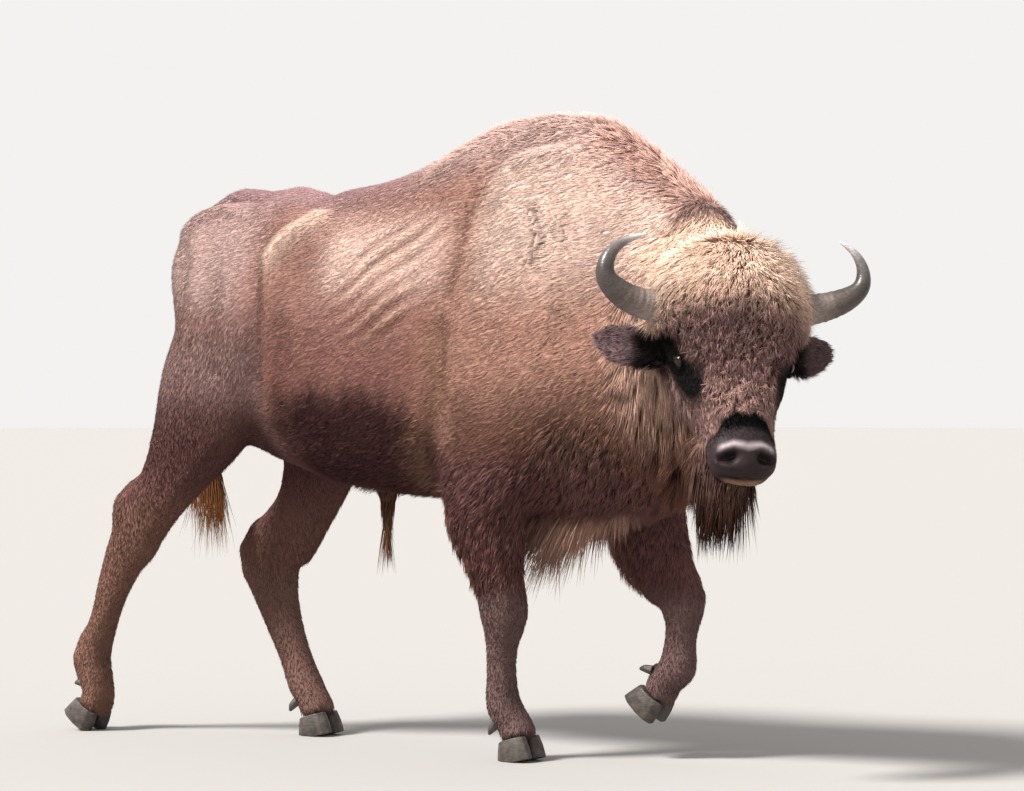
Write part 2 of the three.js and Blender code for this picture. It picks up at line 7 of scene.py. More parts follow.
import logging
import math
from collections.abc import Callable, Iterable, Iterator
from contextlib import contextmanager
from dataclasses import dataclass, field
from enum import Enum

import bmesh
import bpy
import numpy as np
from mathutils import Matrix, Vector
from mathutils.bvhtree import BVHTree
from mathutils.kdtree import KDTree


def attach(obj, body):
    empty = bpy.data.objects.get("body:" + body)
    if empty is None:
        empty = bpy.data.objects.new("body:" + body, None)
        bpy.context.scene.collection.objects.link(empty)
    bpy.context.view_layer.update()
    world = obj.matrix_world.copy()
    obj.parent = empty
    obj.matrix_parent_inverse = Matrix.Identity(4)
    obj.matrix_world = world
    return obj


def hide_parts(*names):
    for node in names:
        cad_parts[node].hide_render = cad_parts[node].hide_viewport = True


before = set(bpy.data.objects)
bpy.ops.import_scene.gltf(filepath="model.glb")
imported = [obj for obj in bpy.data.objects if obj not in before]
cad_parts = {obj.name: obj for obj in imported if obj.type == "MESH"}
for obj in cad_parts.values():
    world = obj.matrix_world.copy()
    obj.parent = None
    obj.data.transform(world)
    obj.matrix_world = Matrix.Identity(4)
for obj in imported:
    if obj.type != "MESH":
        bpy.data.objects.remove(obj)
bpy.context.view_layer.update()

log = logging.getLogger("wisent")

ANIMAL_AT = (0.39290, 0.10694, 0.0)
HEAD_AT = (0.700, -0.280, 1.095)
HEAD_HEADING = -42.0
HEAD_ROLL = -3.5
HEAD_PITCH = 54.0
EYE_AT = (0.006, 0.136, 0.006)
EYE_RADIUS = 0.025
GAZE = (0.12, 0.86, 0.50)
Array = np.ndarray


# --- Small helpers ----------------------------------------------------------------------------------


def fade(value: Array, start: float, end: float) -> Array:
    """A smooth step from 0 at start to 1 at end, either way round."""
    t = np.clip((value - start) / (end - start), 0.0, 1.0)
    return t * t * (3.0 - 2.0 * t)


def between(value: Array, low: float, high: float, soft: float) -> Array:
    """1 between low and high, fading out over soft on both sides."""
    return fade(value, low - soft, low + soft) * fade(value, high + soft, high - soft)


def blob(place: Array, at: tuple[float, ...], reach: tuple[float, ...]) -> Array:
    """A soft bump of height 1 round a point, with its spread along each axis."""
    away = (place - np.array(at)) / np.array(reach)
    return np.exp(-(away**2).sum(1))


def unit(vectors: Array) -> Array:
    """The same directions at length 1."""
    size = np.linalg.norm(vectors, axis=1, keepdims=True)
    return vectors / np.maximum(size, 1e-9)


def tone(code: str) -> tuple[float, float, float]:
    """A colour written as rrggbb, as linear light."""
    parts = [int(code[i : i + 2], 16) / 255 for i in (0, 2, 4)]
    return tuple(p / 12.92 if p <= 0.04045 else ((p + 0.055) / 1.055) ** 2.4 for p in parts)


def deselect() -> None:
    """Leaves nothing selected, so that an operator acts on its own piece alone."""
    if bpy.context.object and bpy.context.object.mode != "OBJECT":
        bpy.ops.object.mode_set(mode="OBJECT")
    bpy.ops.object.select_all(action="DESELECT")


def pick(*pieces: bpy.types.Object) -> None:
    """Selects these pieces alone, the first one active."""
    deselect()
    for piece in pieces:
        piece.select_set(True)
    bpy.context.view_layer.objects.active = pieces[0]


@contextmanager
def editing() -> Iterator[None]:
    """Edit mode with everything selected, for as long as its block runs."""
    bpy.ops.object.mode_set(mode="EDIT")
    bpy.ops.mesh.select_all(action="SELECT")
    yield
    bpy.ops.object.mode_set(mode="OBJECT")


def shade_smooth(mesh: bpy.types.Mesh) -> None:
    """Shades every face of a mesh smooth."""
    mesh.polygons.foreach_set("use_smooth", np.ones(len(mesh.polygons), bool))


def added(name: str, data: bpy.types.ID) -> bpy.types.Object:
    """A new object in the scene that shows a mesh, a camera or a lamp."""
    piece = bpy.data.objects.new(name, data)
    bpy.context.scene.collection.objects.link(piece)
    return piece


def copy_node(name: str, piece_name: str) -> bpy.types.Object:
    """A merged copy of a solid from the frame, free to be shaped.

    Args:
        name: The solid's node name.
        piece_name: What the copy is called.

    Returns:
        The copy, at the origin.
    """
    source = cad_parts[name]
    piece = added(piece_name, source.data.copy())
    piece.data.materials.clear()
    pick(piece)
    with editing():
        bpy.ops.mesh.remove_doubles(threshold=0.0001)
    return piece


def corners_of(mesh: bpy.types.Mesh) -> Array:
    """Every vertex place of a mesh, one row each."""
    co = np.empty(len(mesh.vertices) * 3)
    mesh.vertices.foreach_get("co", co)
    return co.reshape(-1, 3)


def set_corners(mesh: bpy.types.Mesh, co: Array) -> None:
    """Moves every vertex of a mesh to the given places."""
    mesh.vertices.foreach_set("co", co.ravel())
    mesh.update()


def normals_of(mesh: bpy.types.Mesh) -> Array:
    """Every vertex normal of a mesh."""
    found = np.empty(len(mesh.vertices) * 3, np.float32)
    mesh.vertex_normals.foreach_get("vector", found)
    return found.reshape(-1, 3).astype(float)


def edges_of(mesh: bpy.types.Mesh) -> Array:
    """The two vertices of every edge."""
    found = np.empty(len(mesh.edges) * 2, np.int32)
    mesh.edges.foreach_get("vertices", found)
    return found.reshape(-1, 2)


def paint(mesh: bpy.types.Mesh, name: str, colours: Array) -> None:
    """Stores one colour for each vertex under a name that materials read."""
    layer = mesh.color_attributes.new(name=name, type="FLOAT_COLOR", domain="POINT")
    rgba = np.concatenate([colours, np.ones((len(colours), 1))], 1).astype(np.float32)
    layer.data.foreach_set("color", rgba.ravel())


def weigh(mesh: bpy.types.Mesh, name: str, values: Array) -> None:
    """Stores one number for each vertex under a name that materials read."""
    layer = mesh.attributes.new(name=name, type="FLOAT", domain="POINT")
    layer.data.foreach_set("value", values.astype(np.float32))


def relax(co: Array, edges: Array, strength: Array, rounds: int) -> Array:
    """Moves every point towards the mean of its neighbours.

    Args:
        co: One row for each point; any number of columns.
        edges: The pairs of neighbours.
        strength: How far each point goes towards the mean, 0 to 1.
        rounds: How many times.

    Returns:
        The smoothed rows.
    """
    count = len(co)
    a, b = edges[:, 0], edges[:, 1]
    near = np.bincount(a, minlength=count) + np.bincount(b, minlength=count)
    near = np.maximum(near, 1)
    for _ in range(rounds):
        mean = np.empty_like(co)
        for k in range(co.shape[1]):
            mean[:, k] = np.bincount(a, co[b, k], count) + np.bincount(b, co[a, k], count)
        co = co + (mean / near[:, None] - co) * strength[:, None]
    return co


# --- Frames -----------------------------------------------------------------------------------------


@dataclass(frozen=True)
class Placing:
    """A frame fixed in the scene, which turns places into its own and back."""

    matrix: Matrix

    def inside(self, points: Array) -> Array:
        """Scene places as places in this frame."""
        turn = np.array(self.matrix.to_3x3())
        return (points - np.array(self.matrix.translation)) @ turn

    def outside(self, points: Array) -> Array:
        """Places in this frame as scene places."""
        turn = np.array(self.matrix.to_3x3())
        return points @ turn.T + np.array(self.matrix.translation)

    def turned(self, directions: Array) -> Array:
        """Directions in this frame as scene directions."""
        return directions @ np.array(self.matrix.to_3x3()).T


def rotation(degrees: float, axis: str) -> Matrix:
    """A turn about one axis, as a 4 by 4 matrix."""
    return Matrix.Rotation(math.radians(degrees), 4, axis)


ANIMAL = Placing(Matrix.Translation(ANIMAL_AT))
LEVEL_HEAD = Placing(
    ANIMAL.matrix
    @ Matrix.Translation(HEAD_AT)
    @ rotation(HEAD_HEADING, "Z")
    @ rotation(HEAD_ROLL, "X")
)
FACE = Placing(LEVEL_HEAD.matrix @ rotation(HEAD_PITCH, "Y"))


class Side(Enum):
    """The animal's own left and right."""

    LEFT = 1
    RIGHT = -1


HORN_ROOT_HEIGHT = {Side.LEFT: 0.146, Side.RIGHT: 0.132}


def eye_centre(side: Side) -> tuple[float, float, float]:
    """The middle of one eyeball, in the face's frame."""
    return (EYE_AT[0], side.value * EYE_AT[1], EYE_AT[2])


def gaze_of(side: Side) -> Array:
    """The way one eye looks, in the face's frame, as a row."""
    return np.array([[GAZE[0], side.value * GAZE[1], GAZE[2]]])


# --- Where a point of the hide lies -------------------------------------------------------------------


@dataclass
class Hide:
    """What the markings and the coat need to know about points of the skin.

    body and face are places in the animal's and the face's frame with their y as the distance from
    the middle. part holds how far each point belongs to each solid, 0 to 1.
    """

    place: Array
    normal: Array
    body: Array
    face: Array
    part: dict[str, Array]

    @property
    def spine(self) -> Array:
        """How far the middle of the animal lies to its left, from the hump to the bent neck."""
        return np.interp(self.place[:, 0] - ANIMAL_AT[0],
                         [0.13, 0.255, 0.37, 0.475, 0.56, 0.618],
                         [0.0, -0.012, -0.045, -0.098, -0.16, -0.212])

    @property
    def x(self) -> Array:
        """Forward of the hump."""
        return self.body[:, 0]

    @property
    def z(self) -> Array:
        """Height above the floor."""
        return self.body[:, 2]

    @property
    def aside(self) -> Array:
        """Distance from the middle plane."""
        return np.abs(self.body[:, 1] - self.spine)

    @property
    def side(self) -> Array:
        """Distance to the left of the middle plane."""
        return self.body[:, 1] - self.spine

    @property
    def level(self) -> Array:
        """Places in the head's level frame, with y as the distance from the middle."""
        found = LEVEL_HEAD.inside(self.place)
        found[:, 1] = np.abs(found[:, 1])
        return found

    def on(self, *names: str) -> Array:
        """How far each point belongs to any of these solids."""
        return np.clip(sum(self.part[name] for name in names), 0.0, 1.0)

    def middles(self, triangles: Array) -> "Hide":
        """The same, read at the middles of some triangles."""
        rows = {name: getattr(self, name)[triangles].mean(1)
                for name in ("place", "normal", "body", "face")}
        return Hide(**rows, part={k: v[triangles].mean(1) for k, v in self.part.items()})


FORELEGS = ("leg_left_fore", "leg_right_fore")
HINDLEGS = ("leg_left_hind", "leg_right_hind")
EARS = ("ear_left", "ear_right")
TORSO = ("trunk", "neck")
FLESH = (*TORSO, "head", *FORELEGS, *HINDLEGS, *EARS, "tail")
BUNCHES = ("beard", "throat_mane", "sheath", "tail_tuft")


Path = tuple[tuple[float, float, float], ...]


def off_path(body: Array, path: Path, flat: float = 0.35) -> Array:
    """How far points lie from a line along the hide.

    Args:
        body: Places in the animal's frame with y as the distance from the middle.
        path: The corners of the line, in the same way.
        flat: How much the distance from the middle counts, since the line may float off the hide.

    Returns:
        One distance for each point.
    """
    scale = np.array([1.0, flat, 1.0])
    best = np.full(len(body), 1e9)
    for start, end in zip(path, path[1:]):
        a, b = np.array(start) * scale, np.array(end) * scale
        run = b - a
        t = np.clip(((body * scale - a) @ run) / (run @ run), 0.0, 1.0)
        best = np.minimum(best, np.linalg.norm(body * scale - a - t[:, None] * run, axis=1))
    return best


def along_path(hide: Hide, path: Path, width: float) -> Array:
    """1 on a line along the hide, fading out over its width."""
    body = np.stack([hide.x, hide.aside, hide.z], 1)
    return np.exp(-((off_path(body, path) / width) ** 2))


MOUTH: Path = ((0.335, 0.0, -0.040), (0.325, 0.045, -0.044), (0.285, 0.080, -0.058),
               (0.235, 0.092, -0.072))
HIP: Path = ((-0.762, 0.150, 1.510), (-0.800, 0.180, 1.482), (-0.830, 0.213, 1.449),
             (-0.862, 0.236, 1.405))
ELBOW_CREASE: Path = ((-0.235, 0.285, 1.180), (-0.238, 0.298, 1.026), (-0.272, 0.275, 0.916),
                      (-0.340, 0.167, 0.774))
SCAR: Path = ((0.025, 0.217, 1.515), (0.059, 0.233, 1.473), (0.072, 0.251, 1.418),
              (0.057, 0.267, 1.372))


def rib_wave(hide: Hide) -> Array:
    """The ribs that show through the thin flank, slanting back and down.

    Args:
        hide: The points.

    Returns:
        1 on a rib, -1 between two ribs and 0 away from them.
    """
    across = 0.521 * hide.x - 0.853 * hide.z + 0.16 * (hide.z - 1.3) ** 2
    across = across + 0.006 * np.sin(hide.x * 21 + hide.z * 13)
    middle = -0.46 + 0.42 * (hide.z - 1.33)
    shown = between(hide.x, middle - 0.15, middle + 0.15, 0.05)
    shown = shown * between(hide.z, 1.16, 1.49, 0.05) * fade(hide.aside, 0.12, 0.20)
    strong = 0.75 + 0.25 * np.sin(hide.x * 17 - hide.z * 29)
    return np.cos(across / 0.052 * 2 * np.pi) * shown * strong


def by_eye(hide: Hide) -> Array:
    """The bare dark skin round each eye and down towards the inner corner, in the face's frame."""
    x, y, z = hide.face.T
    middle = 0.034 - 0.18 * z
    away = ((x - middle) / 0.104) ** 2 + ((z + 0.002 - 0.10 * (x - 0.03)) / 0.054) ** 2
    return np.clip(1.3 * np.exp(-(away**2)), 0, 1) * fade(y, 0.086, 0.100) * hide.on("head")


def on_muzzle(hide: Hide) -> Array:
    """The naked end of the nose and the lips."""
    x, y, z = hide.face.T
    edge = 0.249 + 0.30 * np.maximum(y - 0.055, 0.0) + 0.45 * np.maximum(-z - 0.040, 0.0)
    edge = edge + 0.003 * np.sin(y * 150) + 0.002 * np.sin(z * 240 + 1.0)
    return fade(x - edge, -0.013, 0.010) * hide.on("head")


def on_nose_band(hide: Hide) -> Array:
    """The black hair across the top of the nose, with its ragged upper edge."""
    x, y, z = hide.face.T
    edge = 0.178 + 1.3 * np.maximum(y - 0.042, 0.0) + 0.006 * np.sin(y * 190)
    return fade(x - edge, -0.016, 0.012) * fade(z, -0.055, -0.015) * hide.on("head")


def to_floor_of(xs: list[float], lows: list[float], slant: float = 1.0) -> Callable[[Hide], Array]:
    """Hair just long enough to reach the lower edge of its bunch, which varies along the animal.

    Args:
        xs: Places along the animal.
        lows: How low the bunch hangs at each of them.
        slant: How much longer the hair is because it hangs at a slant.

    Returns:
        The length at each point of the hide.
    """
    return lambda hide: np.clip((hide.z - np.interp(hide.x, xs, lows)) * slant + 0.012, 0.035, 0.26)


def on_crown(hide: Hide) -> Array:
    """The thick hair on top of the head, which ends on the neck behind the horns."""
    back = hide.level[:, 0] - (hide.level[:, 2] - 0.27)
    shown = fade(hide.face[:, 2], -0.12, -0.02) * fade(back, -0.36, -0.27)
    return shown * hide.on("head", "neck")


def on_belly(hide: Hide) -> Array:
    """The dark hair under the belly, whose upper border drops behind the elbow."""
    border = np.interp(hide.x, [-0.95, -0.86, -0.783, -0.614, -0.414, -0.330, -0.260, -0.170],
                       [0.930, 0.985, 1.010, 1.016, 1.002, 0.958, 0.868, 0.790])
    border = border + 0.014 * np.sin(hide.x * 34) + 0.008 * np.sin(hide.x * 91 + 1.0)
    below = fade(hide.z - border, 0.062, -0.046) * fade(hide.x, -0.97, -0.75)
    return below * hide.on("trunk", "sheath")


Number = float | Callable[[Hide], Array]


@dataclass(frozen=True)
class Patch:
    """One area of the hide with its own colour or its own hair. None leaves what lies below it.

    colour is at the root and tip at the end of the hair. lift is how far it stands off the skin in
    degrees, curl how much it turns about, droop how much its own weight bends it. density counts
    the tufts of a square metre, clump is the width of the locks that they gather in, and depth is
    how deep the skin lies below the coat's outline.
    """

    name: str
    where: Callable[[Hide], Array]
    colour: str | None = None
    tip: str | None = None
    length: Number | None = None
    width: Number | None = None
    lift: Number | None = None
    curl: Number | None = None
    droop: Number | None = None
    density: Number | None = None
    clump: Number | None = None
    depth: Number | None = None


# The colours are partly the hair's own and partly painted light and shade, because they were matched from
# one view under one light: lighter on the top of the animal and darker underneath.
COAT = [
    Patch("flank", lambda h: np.ones(len(h.x)), "936d63", "a17c71", 0.025, 0.0024, 9, 0.12, 0.0,
          39000, 0.005, 0.005),
    Patch("rump", lambda h: fade(h.x, -0.88, -1.05) * fade(h.z, 1.10, 1.30), "a68a85", "b79c95"),
    Patch("loin", lambda h: fade(h.aside, 0.17, 0.05) * fade(h.z, 1.45, 1.52), "907273", "a18283"),
    Patch("ribs", lambda h: between(h.x, -0.70, -0.24, 0.08) * between(h.z, 1.30, 1.50, 0.08),
          "c5a79c", "d7bab0"),
    # Painted highlight along the hip bone, paler than the hair round it.
    Patch("hip", lambda h: 0.8 * along_path(h, HIP, 0.036) * h.on("trunk"), "d8b8a8", "efd6c7"),
    # Painted light on the rib crests and painted shade in the hollows between them, over the ribs' own
    # relief.
    Patch("painted light on the rib crests", lambda h: 0.65 * rib_wave(h), "d4b1a0", "e6c6b5"),
    Patch("painted shade in the rib hollows", lambda h: -0.65 * rib_wave(h), "8a685b", "9b786a"),
    Patch("lower flank", lambda h: fade(h.z, 1.36, 1.08) * fade(h.x, -0.18, -0.30) * h.on("trunk"),
          "7b554d", "89625a"),
    Patch("shoulder", lambda h: fade(h.x, -0.30, -0.10) * h.on(*TORSO), "9a7566", "b1897a"),
    Patch("pale shoulder", lambda h: between(h.x, -0.13, 0.62, 0.05) * fade(h.z, 1.18, 1.44)
          * h.on(*TORSO), "c6aa9f", "d7beb2"),
    Patch("shoulder hair", lambda h: fade(h.x, -0.28, -0.10) * h.on(*TORSO),
          length=0.029, width=0.0026, lift=11, curl=0.20, density=41000, clump=0.009, depth=0.008),
    Patch("hump hair", lambda h: fade(h.aside, 0.17, 0.06) * between(h.x, -0.44, 0.48, 0.10)
          * fade(h.z, 1.42, 1.56), "b89a91", "d2b4ac", 0.035, 0.0028, 20, 0.30, 0.0, 36000, 0.016,
          0.013),
    Patch("neck hair", lambda h: h.on("neck") * fade(h.x, 0.26, 0.42) * fade(h.z, 1.20, 1.32),
          "dfc1b2", "f8e0d5", 0.040, 0.0028, 15, 0.25, 0.1, 36000, 0.018, 0.014),
    Patch("mane ridge", lambda h: fade(h.aside, 0.11, 0.04) * between(h.x, 0.14, 0.66, 0.08)
          * fade(h.z, 1.38, 1.48), "ab877b", "c6a196", 0.046, 0.0028, 24, 0.30, 0.0, 34000,
          0.016, 0.016),
    Patch("low neck", lambda h: h.on("neck") * fade(h.z, 1.36, 1.16), "8f7468", "cdaa99", 0.095,
          0.0040, 13, 0.30, 0.45, 24000, 0.034, 0.022),
    Patch("thigh", lambda h: fade(h.x, -0.83, -0.96) * fade(h.z, 1.34, 1.10), "806460", "937673",
          0.023, 0.0024, 9, 0.10, 0.0, 39000, 0.005, 0.004),
    Patch("low shoulder", lambda h: fade(h.x, -0.29, -0.13) * fade(h.z, 1.14, 0.84) * h.on(*TORSO),
          "5b3e34", "765246"),
    Patch("belly", on_belly, "3e2726", "472d2d", 0.030, 0.0030, 8, 0.20, 0.2, 32000, 0.016, 0.007),
    # Painted light and shade along the crease behind the elbow: the band's colour stands in for how the
    # crease looks under the light, lighter than the dark hair round it.
    Patch("behind the elbow", lambda h: 0.6 * along_path(h, ELBOW_CREASE, 0.070) * h.on("trunk"),
          "856353", "a27c69"),
    Patch("chest", lambda h: between(h.x, 0.08, 0.30, 0.05) * fade(h.z, 0.98, 0.86) * h.on(*TORSO),
          "523c35", "785b50", 0.060, 0.0038, 16, 0.6, 0.5, 28000, 0.026, 0.016),
    Patch("shanks", lambda h: np.clip(h.on(*FORELEGS, *HINDLEGS) + fade(h.x, -0.90, -0.97), 0, 1)
          * fade(h.z, 1.06, 0.80),
          "5d3e3e", "6c4948", 0.019, 0.0029, 9, 0.12, 0.1, 34500, 0.006, 0.004),
    Patch("ham", lambda h: 0.8 * fade(h.x, -0.88, -0.96) * between(h.z, 0.76, 1.00, 0.09),
          "4e342f", "5d3e39"),
    Patch("upper foreleg", lambda h: h.on(*FORELEGS, "trunk") * fade(h.x, -0.35, -0.30)
          * fade(h.z, 0.92, 0.78) * fade(h.z, 0.42, 0.54), "4c3235", "76534e", 0.038, 0.0032, 18,
          0.40, 0.3, 34000, 0.016, 0.007),
    # Its paler tips are painted light, as on backlit hair at the back of the forelegs.
    Patch("fore fringe", lambda h: h.on(*FORELEGS) * fade(-h.normal[:, 0], 0.30, 0.75)
          * between(h.z, 0.46, 0.78, 0.06), tip="8a6250", length=0.050, lift=24, droop=0.6,
          clump=0.020),
    Patch("lower leg", lambda h: h.on(*FORELEGS, *HINDLEGS) * fade(h.z, 0.52, 0.42), "604a49",
          "705956", 0.014, 0.0028, 9, 0.1, 0.1, 40000, 0.006, 0.002),
    # Warmer shanks on the hind legs, full on the right leg and at 0.6 on the left: the difference between
    # the legs is painted light.
    Patch("hind shanks", lambda h: h.on(*HINDLEGS) * fade(h.z, 0.80, 0.60)
          * np.where(h.side < 0, 1.0, 0.6), "6b4e44", "7e5c4f"),
    Patch("pastern fringe", lambda h: h.on(*FORELEGS, *HINDLEGS) * between(h.z, 0.06, 0.10, 0.02),
          length=0.020, lift=14, droop=0.3),
    Patch("tail", lambda h: h.on("tail"), "6b4d44", "83614f", 0.020, 0.0028, 10, 0.2, 0.2, 34000,
          0.010, 0.003),
    Patch("head", lambda h: h.on("head"), "6c534f", "a2817c", 0.026, 0.0026, 18, 0.4, 0.1, 54000,
          0.010, 0.010),
    Patch("cheek", lambda h: h.on("head") * fade(h.face[:, 2], -0.05, -0.11)
          * fade(h.face[:, 0], 0.20, 0.12), "6d5350", "ac8e89", 0.060, 0.0032, 18, 0.4, 0.5,
          42000, 0.024, 0.014),
    Patch("lower forehead", lambda h: h.on("head") * fade(h.face[:, 0], 0.03, 0.10)
          * fade(h.face[:, 2], -0.05, 0.0), "765854", "bd9a92"),
    Patch("face side", lambda h: h.on("head") * fade(h.face[:, 0], 0.12, 0.20),
          length=0.017, width=0.0022, lift=14, curl=0.25, density=90000, clump=0.010,
          depth=0.005),
    Patch("cheek fringe", lambda h: h.on("head") * fade(h.face[:, 1], 0.095, 0.130)
          * between(h.face[:, 0], 0.07, 0.20, 0.03) * fade(h.face[:, 2], 0.02, -0.02),
          length=0.040, width=0.0028, lift=34, curl=0.4, droop=0.3),
    Patch("forehead", lambda h: h.on("head") * between(h.face[:, 0], -0.15, 0.18, 0.025)
          * fade(h.face[:, 2], 0.0, 0.04), length=0.036, width=0.0028, lift=38, curl=1.0,
          density=88000, clump=0.011, depth=0.020),
    Patch("forehead dark", lambda h: h.on("head") * between(h.face[:, 0], -0.09, 0.06, 0.035)
          * fade(h.face[:, 1], 0.16, 0.10) * fade(h.face[:, 2], 0.0, 0.05), "533c3b", "a27f7b"),
    Patch("crown", lambda h: on_crown(h) * fade(h.face[:, 0], -0.06, -0.17), "d0ab95", "e6c6b2",
          0.052, 0.0029, 34, 0.30, 0.0, 74000, 0.007, 0.034),
    Patch("top of the crown", lambda h: on_crown(h) * fade(h.face[:, 0], -0.12, -0.21),
          "e8c6b0", "fde4d2"),
    Patch("ear", lambda h: h.on(*EARS), "534141", "715b5e", 0.022, 0.0024, 17, 0.25, 0.1, 70000,
          0.011, 0.003),
    # Black hair inside the ear and round its base, partly the ear's own dark hair and partly painted shade
    # in the opening of the ear.
    Patch("inner ear", lambda h: h.on("head", *EARS) * between(h.level[:, 1], 0.150, 0.232, 0.02)
          * between(h.level[:, 2], -0.06, 0.085, 0.02) * fade(h.level[:, 0], -0.15, -0.11),
          "090607", "0f0a09", 0.032, 0.0025, 14, 0.3, 0.3),
    Patch("nose band", on_nose_band, "040404", "060506", 0.010, 0.0022, 12, 0.15, 0.0, 90000,
          0.008, 0.004),
    Patch("over the nostrils", lambda h: on_nose_band(h) * fade(h.face[:, 0], 0.214, 0.236),
          "2b2326", "41373a", 0.007, 0.0018, 8, 0.1, 0.0, 90000, 0.006, 0.003),
    Patch("bare by the eye", by_eye, "060505", "0b0a0a", 0.008, 0.0018, 10, 0.2, 0.0, 90000,
          0.006, 0.0015),
    Patch("muzzle", on_muzzle, "2a1f20", "2a1f20", 0.004, 0.002, 10, 0.0, 0.0, 0, 0.006, 0.001),
    # Painted highlight: a pale band across the top of the nose pad for its wet sheen.
    Patch("painted highlight on the nose", lambda h: on_muzzle(h)
          * between(h.face[:, 0] - 0.20 * np.abs(h.face[:, 1] - 0.038), 0.263, 0.276, 0.010)
          * fade(h.face[:, 1], 0.082, 0.064) * fade(h.face[:, 2], -0.01, 0.012), "a09396"),
    Patch("lower lip", lambda h: h.on("head") * fade(h.face[:, 0], 0.26, 0.29)
          * between(h.face[:, 2], -0.074, -0.044, 0.006) * fade(h.face[:, 1], 0.066, 0.040),
          "775c4b"),
    # A hairless dark line along the mouth: painted shade where the lips meet.
    Patch("mouth", lambda h: h.on("head") * np.exp(-((off_path(h.face, MOUTH, 1.0) / 0.0065) ** 2)),
          "0b0706", density=0),
    Patch("beard", lambda h: h.on("beard"), "1c0f0d", "412820", to_floor_of([0.6, 0.8],
          [0.655, 0.655]), 0.0038, 6, 0.15, 1.0, 34000, 0.022, 0.020),
    Patch("side of the chin", lambda h: h.on("beard") * fade(h.z, 0.84, 0.88), "5a423b", "7a5f56",
          0.040, 0.0028, 14, 0.4, 0.5, 60000, 0.014, 0.010),
    Patch("throat mane", lambda h: h.on("throat_mane"), "a07c6e", "b08b7b",
          to_floor_of([-0.125, -0.07, 0.0, 0.08, 0.17, 0.27, 0.37, 0.45],
                      [0.672, 0.600, 0.545, 0.572, 0.628, 0.690, 0.752, 0.815], 1.30),
          0.0042, 9, 0.25, 0.7, 28000, 0.030, 0.020),
    Patch("sheath", lambda h: h.on("sheath"), "3a251f", "6b4b3c", 0.034, 0.0032, 10, 0.3, 0.6,
          34000, 0.016, 0.008),
    Patch("sheath tuft", lambda h: h.on("sheath") * fade(h.z, 0.74, 0.68), "4a2c22", "8a5f48",
          to_floor_of([-0.7, -0.5], [0.545, 0.545]), 0.0032, 6, 0.25, 1.4, 60000, 0.020, 0.010),
    Patch("tail tuft", lambda h: h.on("tail_tuft"), "5b3826", "a87249",
          to_floor_of([-1.4, -1.2], [0.610, 0.610]), 0.0030, 5, 0.45, 1.4, 26000, 0.020, 0.012),
    # Painted shade: a thin dark line in the fold over the shoulder.
    Patch("fold of the shoulder", lambda h: along_path(h, SCAR, 0.010) * h.on(*TORSO), "3b2a28",
          "59443d"),
]
COAT_NUMBERS = ("length", "width", "lift", "curl", "droop", "density", "clump", "depth")


@dataclass
class Coat:
    """The colour and the hair of every point of the hide, laid on patch by patch."""

    hide: Hide
    colour: Array = field(init=False)
    tip: Array = field(init=False)
    numbers: dict[str, Array] = field(init=False)

    def __post_init__(self) -> None:
        """Lays every patch over the ones before it."""
        count = len(self.hide.x)
        self.colour = np.zeros((count, 3))
        self.tip = np.zeros((count, 3))
        self.numbers = {name: np.zeros(count) for name in COAT_NUMBERS}
        for patch in COAT:
            share = np.clip(patch.where(self.hide), 0.0, 1.0)
            if patch.colour:
                self.colour += (np.array(tone(patch.colour)) - self.colour) * share[:, None]
            if patch.tip or patch.colour:
                tip = np.array(tone(patch.tip or patch.colour))
                self.tip += (tip - self.tip) * share[:, None]
            for name in COAT_NUMBERS:
                value = getattr(patch, name)
                if callable(value):
                    value = value(self.hide)
                if value is not None:
                    self.numbers[name] += (value - self.numbers[name]) * share


def lie_of_coat(hide: Hide) -> Array:
    """The way the hair lies at each point of the hide, before it is laid along the skin.

    Args:
        hide: The points.

    Returns:
        One direction of length 1 for each point.
    """
    count = len(hide.x)
    way = np.tile([-1.0, 0.0, -0.35], (count, 1))

    def lay(direction: Iterable[float], share: Array) -> None:
        """Turns the hair towards a direction by a share at each point."""
        nonlocal way
        way = way + (unit(np.atleast_2d(np.array(list(direction)))) - way) * share[:, None]

    side = np.sign(hide.place[:, 1] - ANIMAL_AT[1] - hide.spine)
    lay((-0.9, 0, -0.25), hide.on("trunk") * fade(hide.z, 1.2, 1.4))
    lay((-0.35, 0, -1), fade(hide.x, -0.88, -0.98) * fade(hide.z, 1.35, 1.15))
    lay((-0.8, 0, -0.6), hide.on("trunk") * fade(hide.x, -0.10, 0.05) * fade(hide.z, 1.15, 0.95))
    lay((-0.10, 0, -1), hide.on("neck") * fade(hide.z, 1.42, 1.2))
    lay((-0.45, 0, -1), fade(hide.x, 0.0, 0.2) * fade(hide.z, 1.0, 0.85) * hide.on(*TORSO))
    lay((-0.12, 0, -1), hide.on(*FORELEGS, *HINDLEGS, "tail", "tail_tuft", "beard", "sheath"))
    lay((-0.75, 0, -1), hide.on("throat_mane"))
    lay((-0.50, 0, -1), hide.on("neck") * fade(hide.z, 1.15, 1.0))
    down_face = FACE.turned(np.array([[1.0, 0.0, 0.0]]))[0]
    across = FACE.turned(np.array([[0.0, 1.0, 0.0]]))[0]
    lay(down_face, hide.on("head"))
    lay((0, 0, -1), hide.on("head") * fade(hide.face[:, 2], -0.05, -0.12))
    face_side = np.sign(FACE.inside(hide.place)[:, 1])
    crown = hide.on("head") * fade(hide.face[:, 0], -0.08, -0.2)
    spread = (across * face_side[:, None] * (hide.face[:, 1] / 0.10)[:, None] + down_face * 0.8)
    way = way + (unit(spread) - way) * crown[:, None]
    for name in EARS:
        sign = 1.0 if name.endswith("left") else -1.0
        out = LEVEL_HEAD.turned(np.array([[-0.42, 0.9 * sign, 0.14]]))[0]
        lay(out, hide.on(name))
    top = fade(hide.aside, 0.08, 0.0) * hide.on(*TORSO)
    way[:, 1] += side * 0.35 * (1 - top)
    return unit(way)


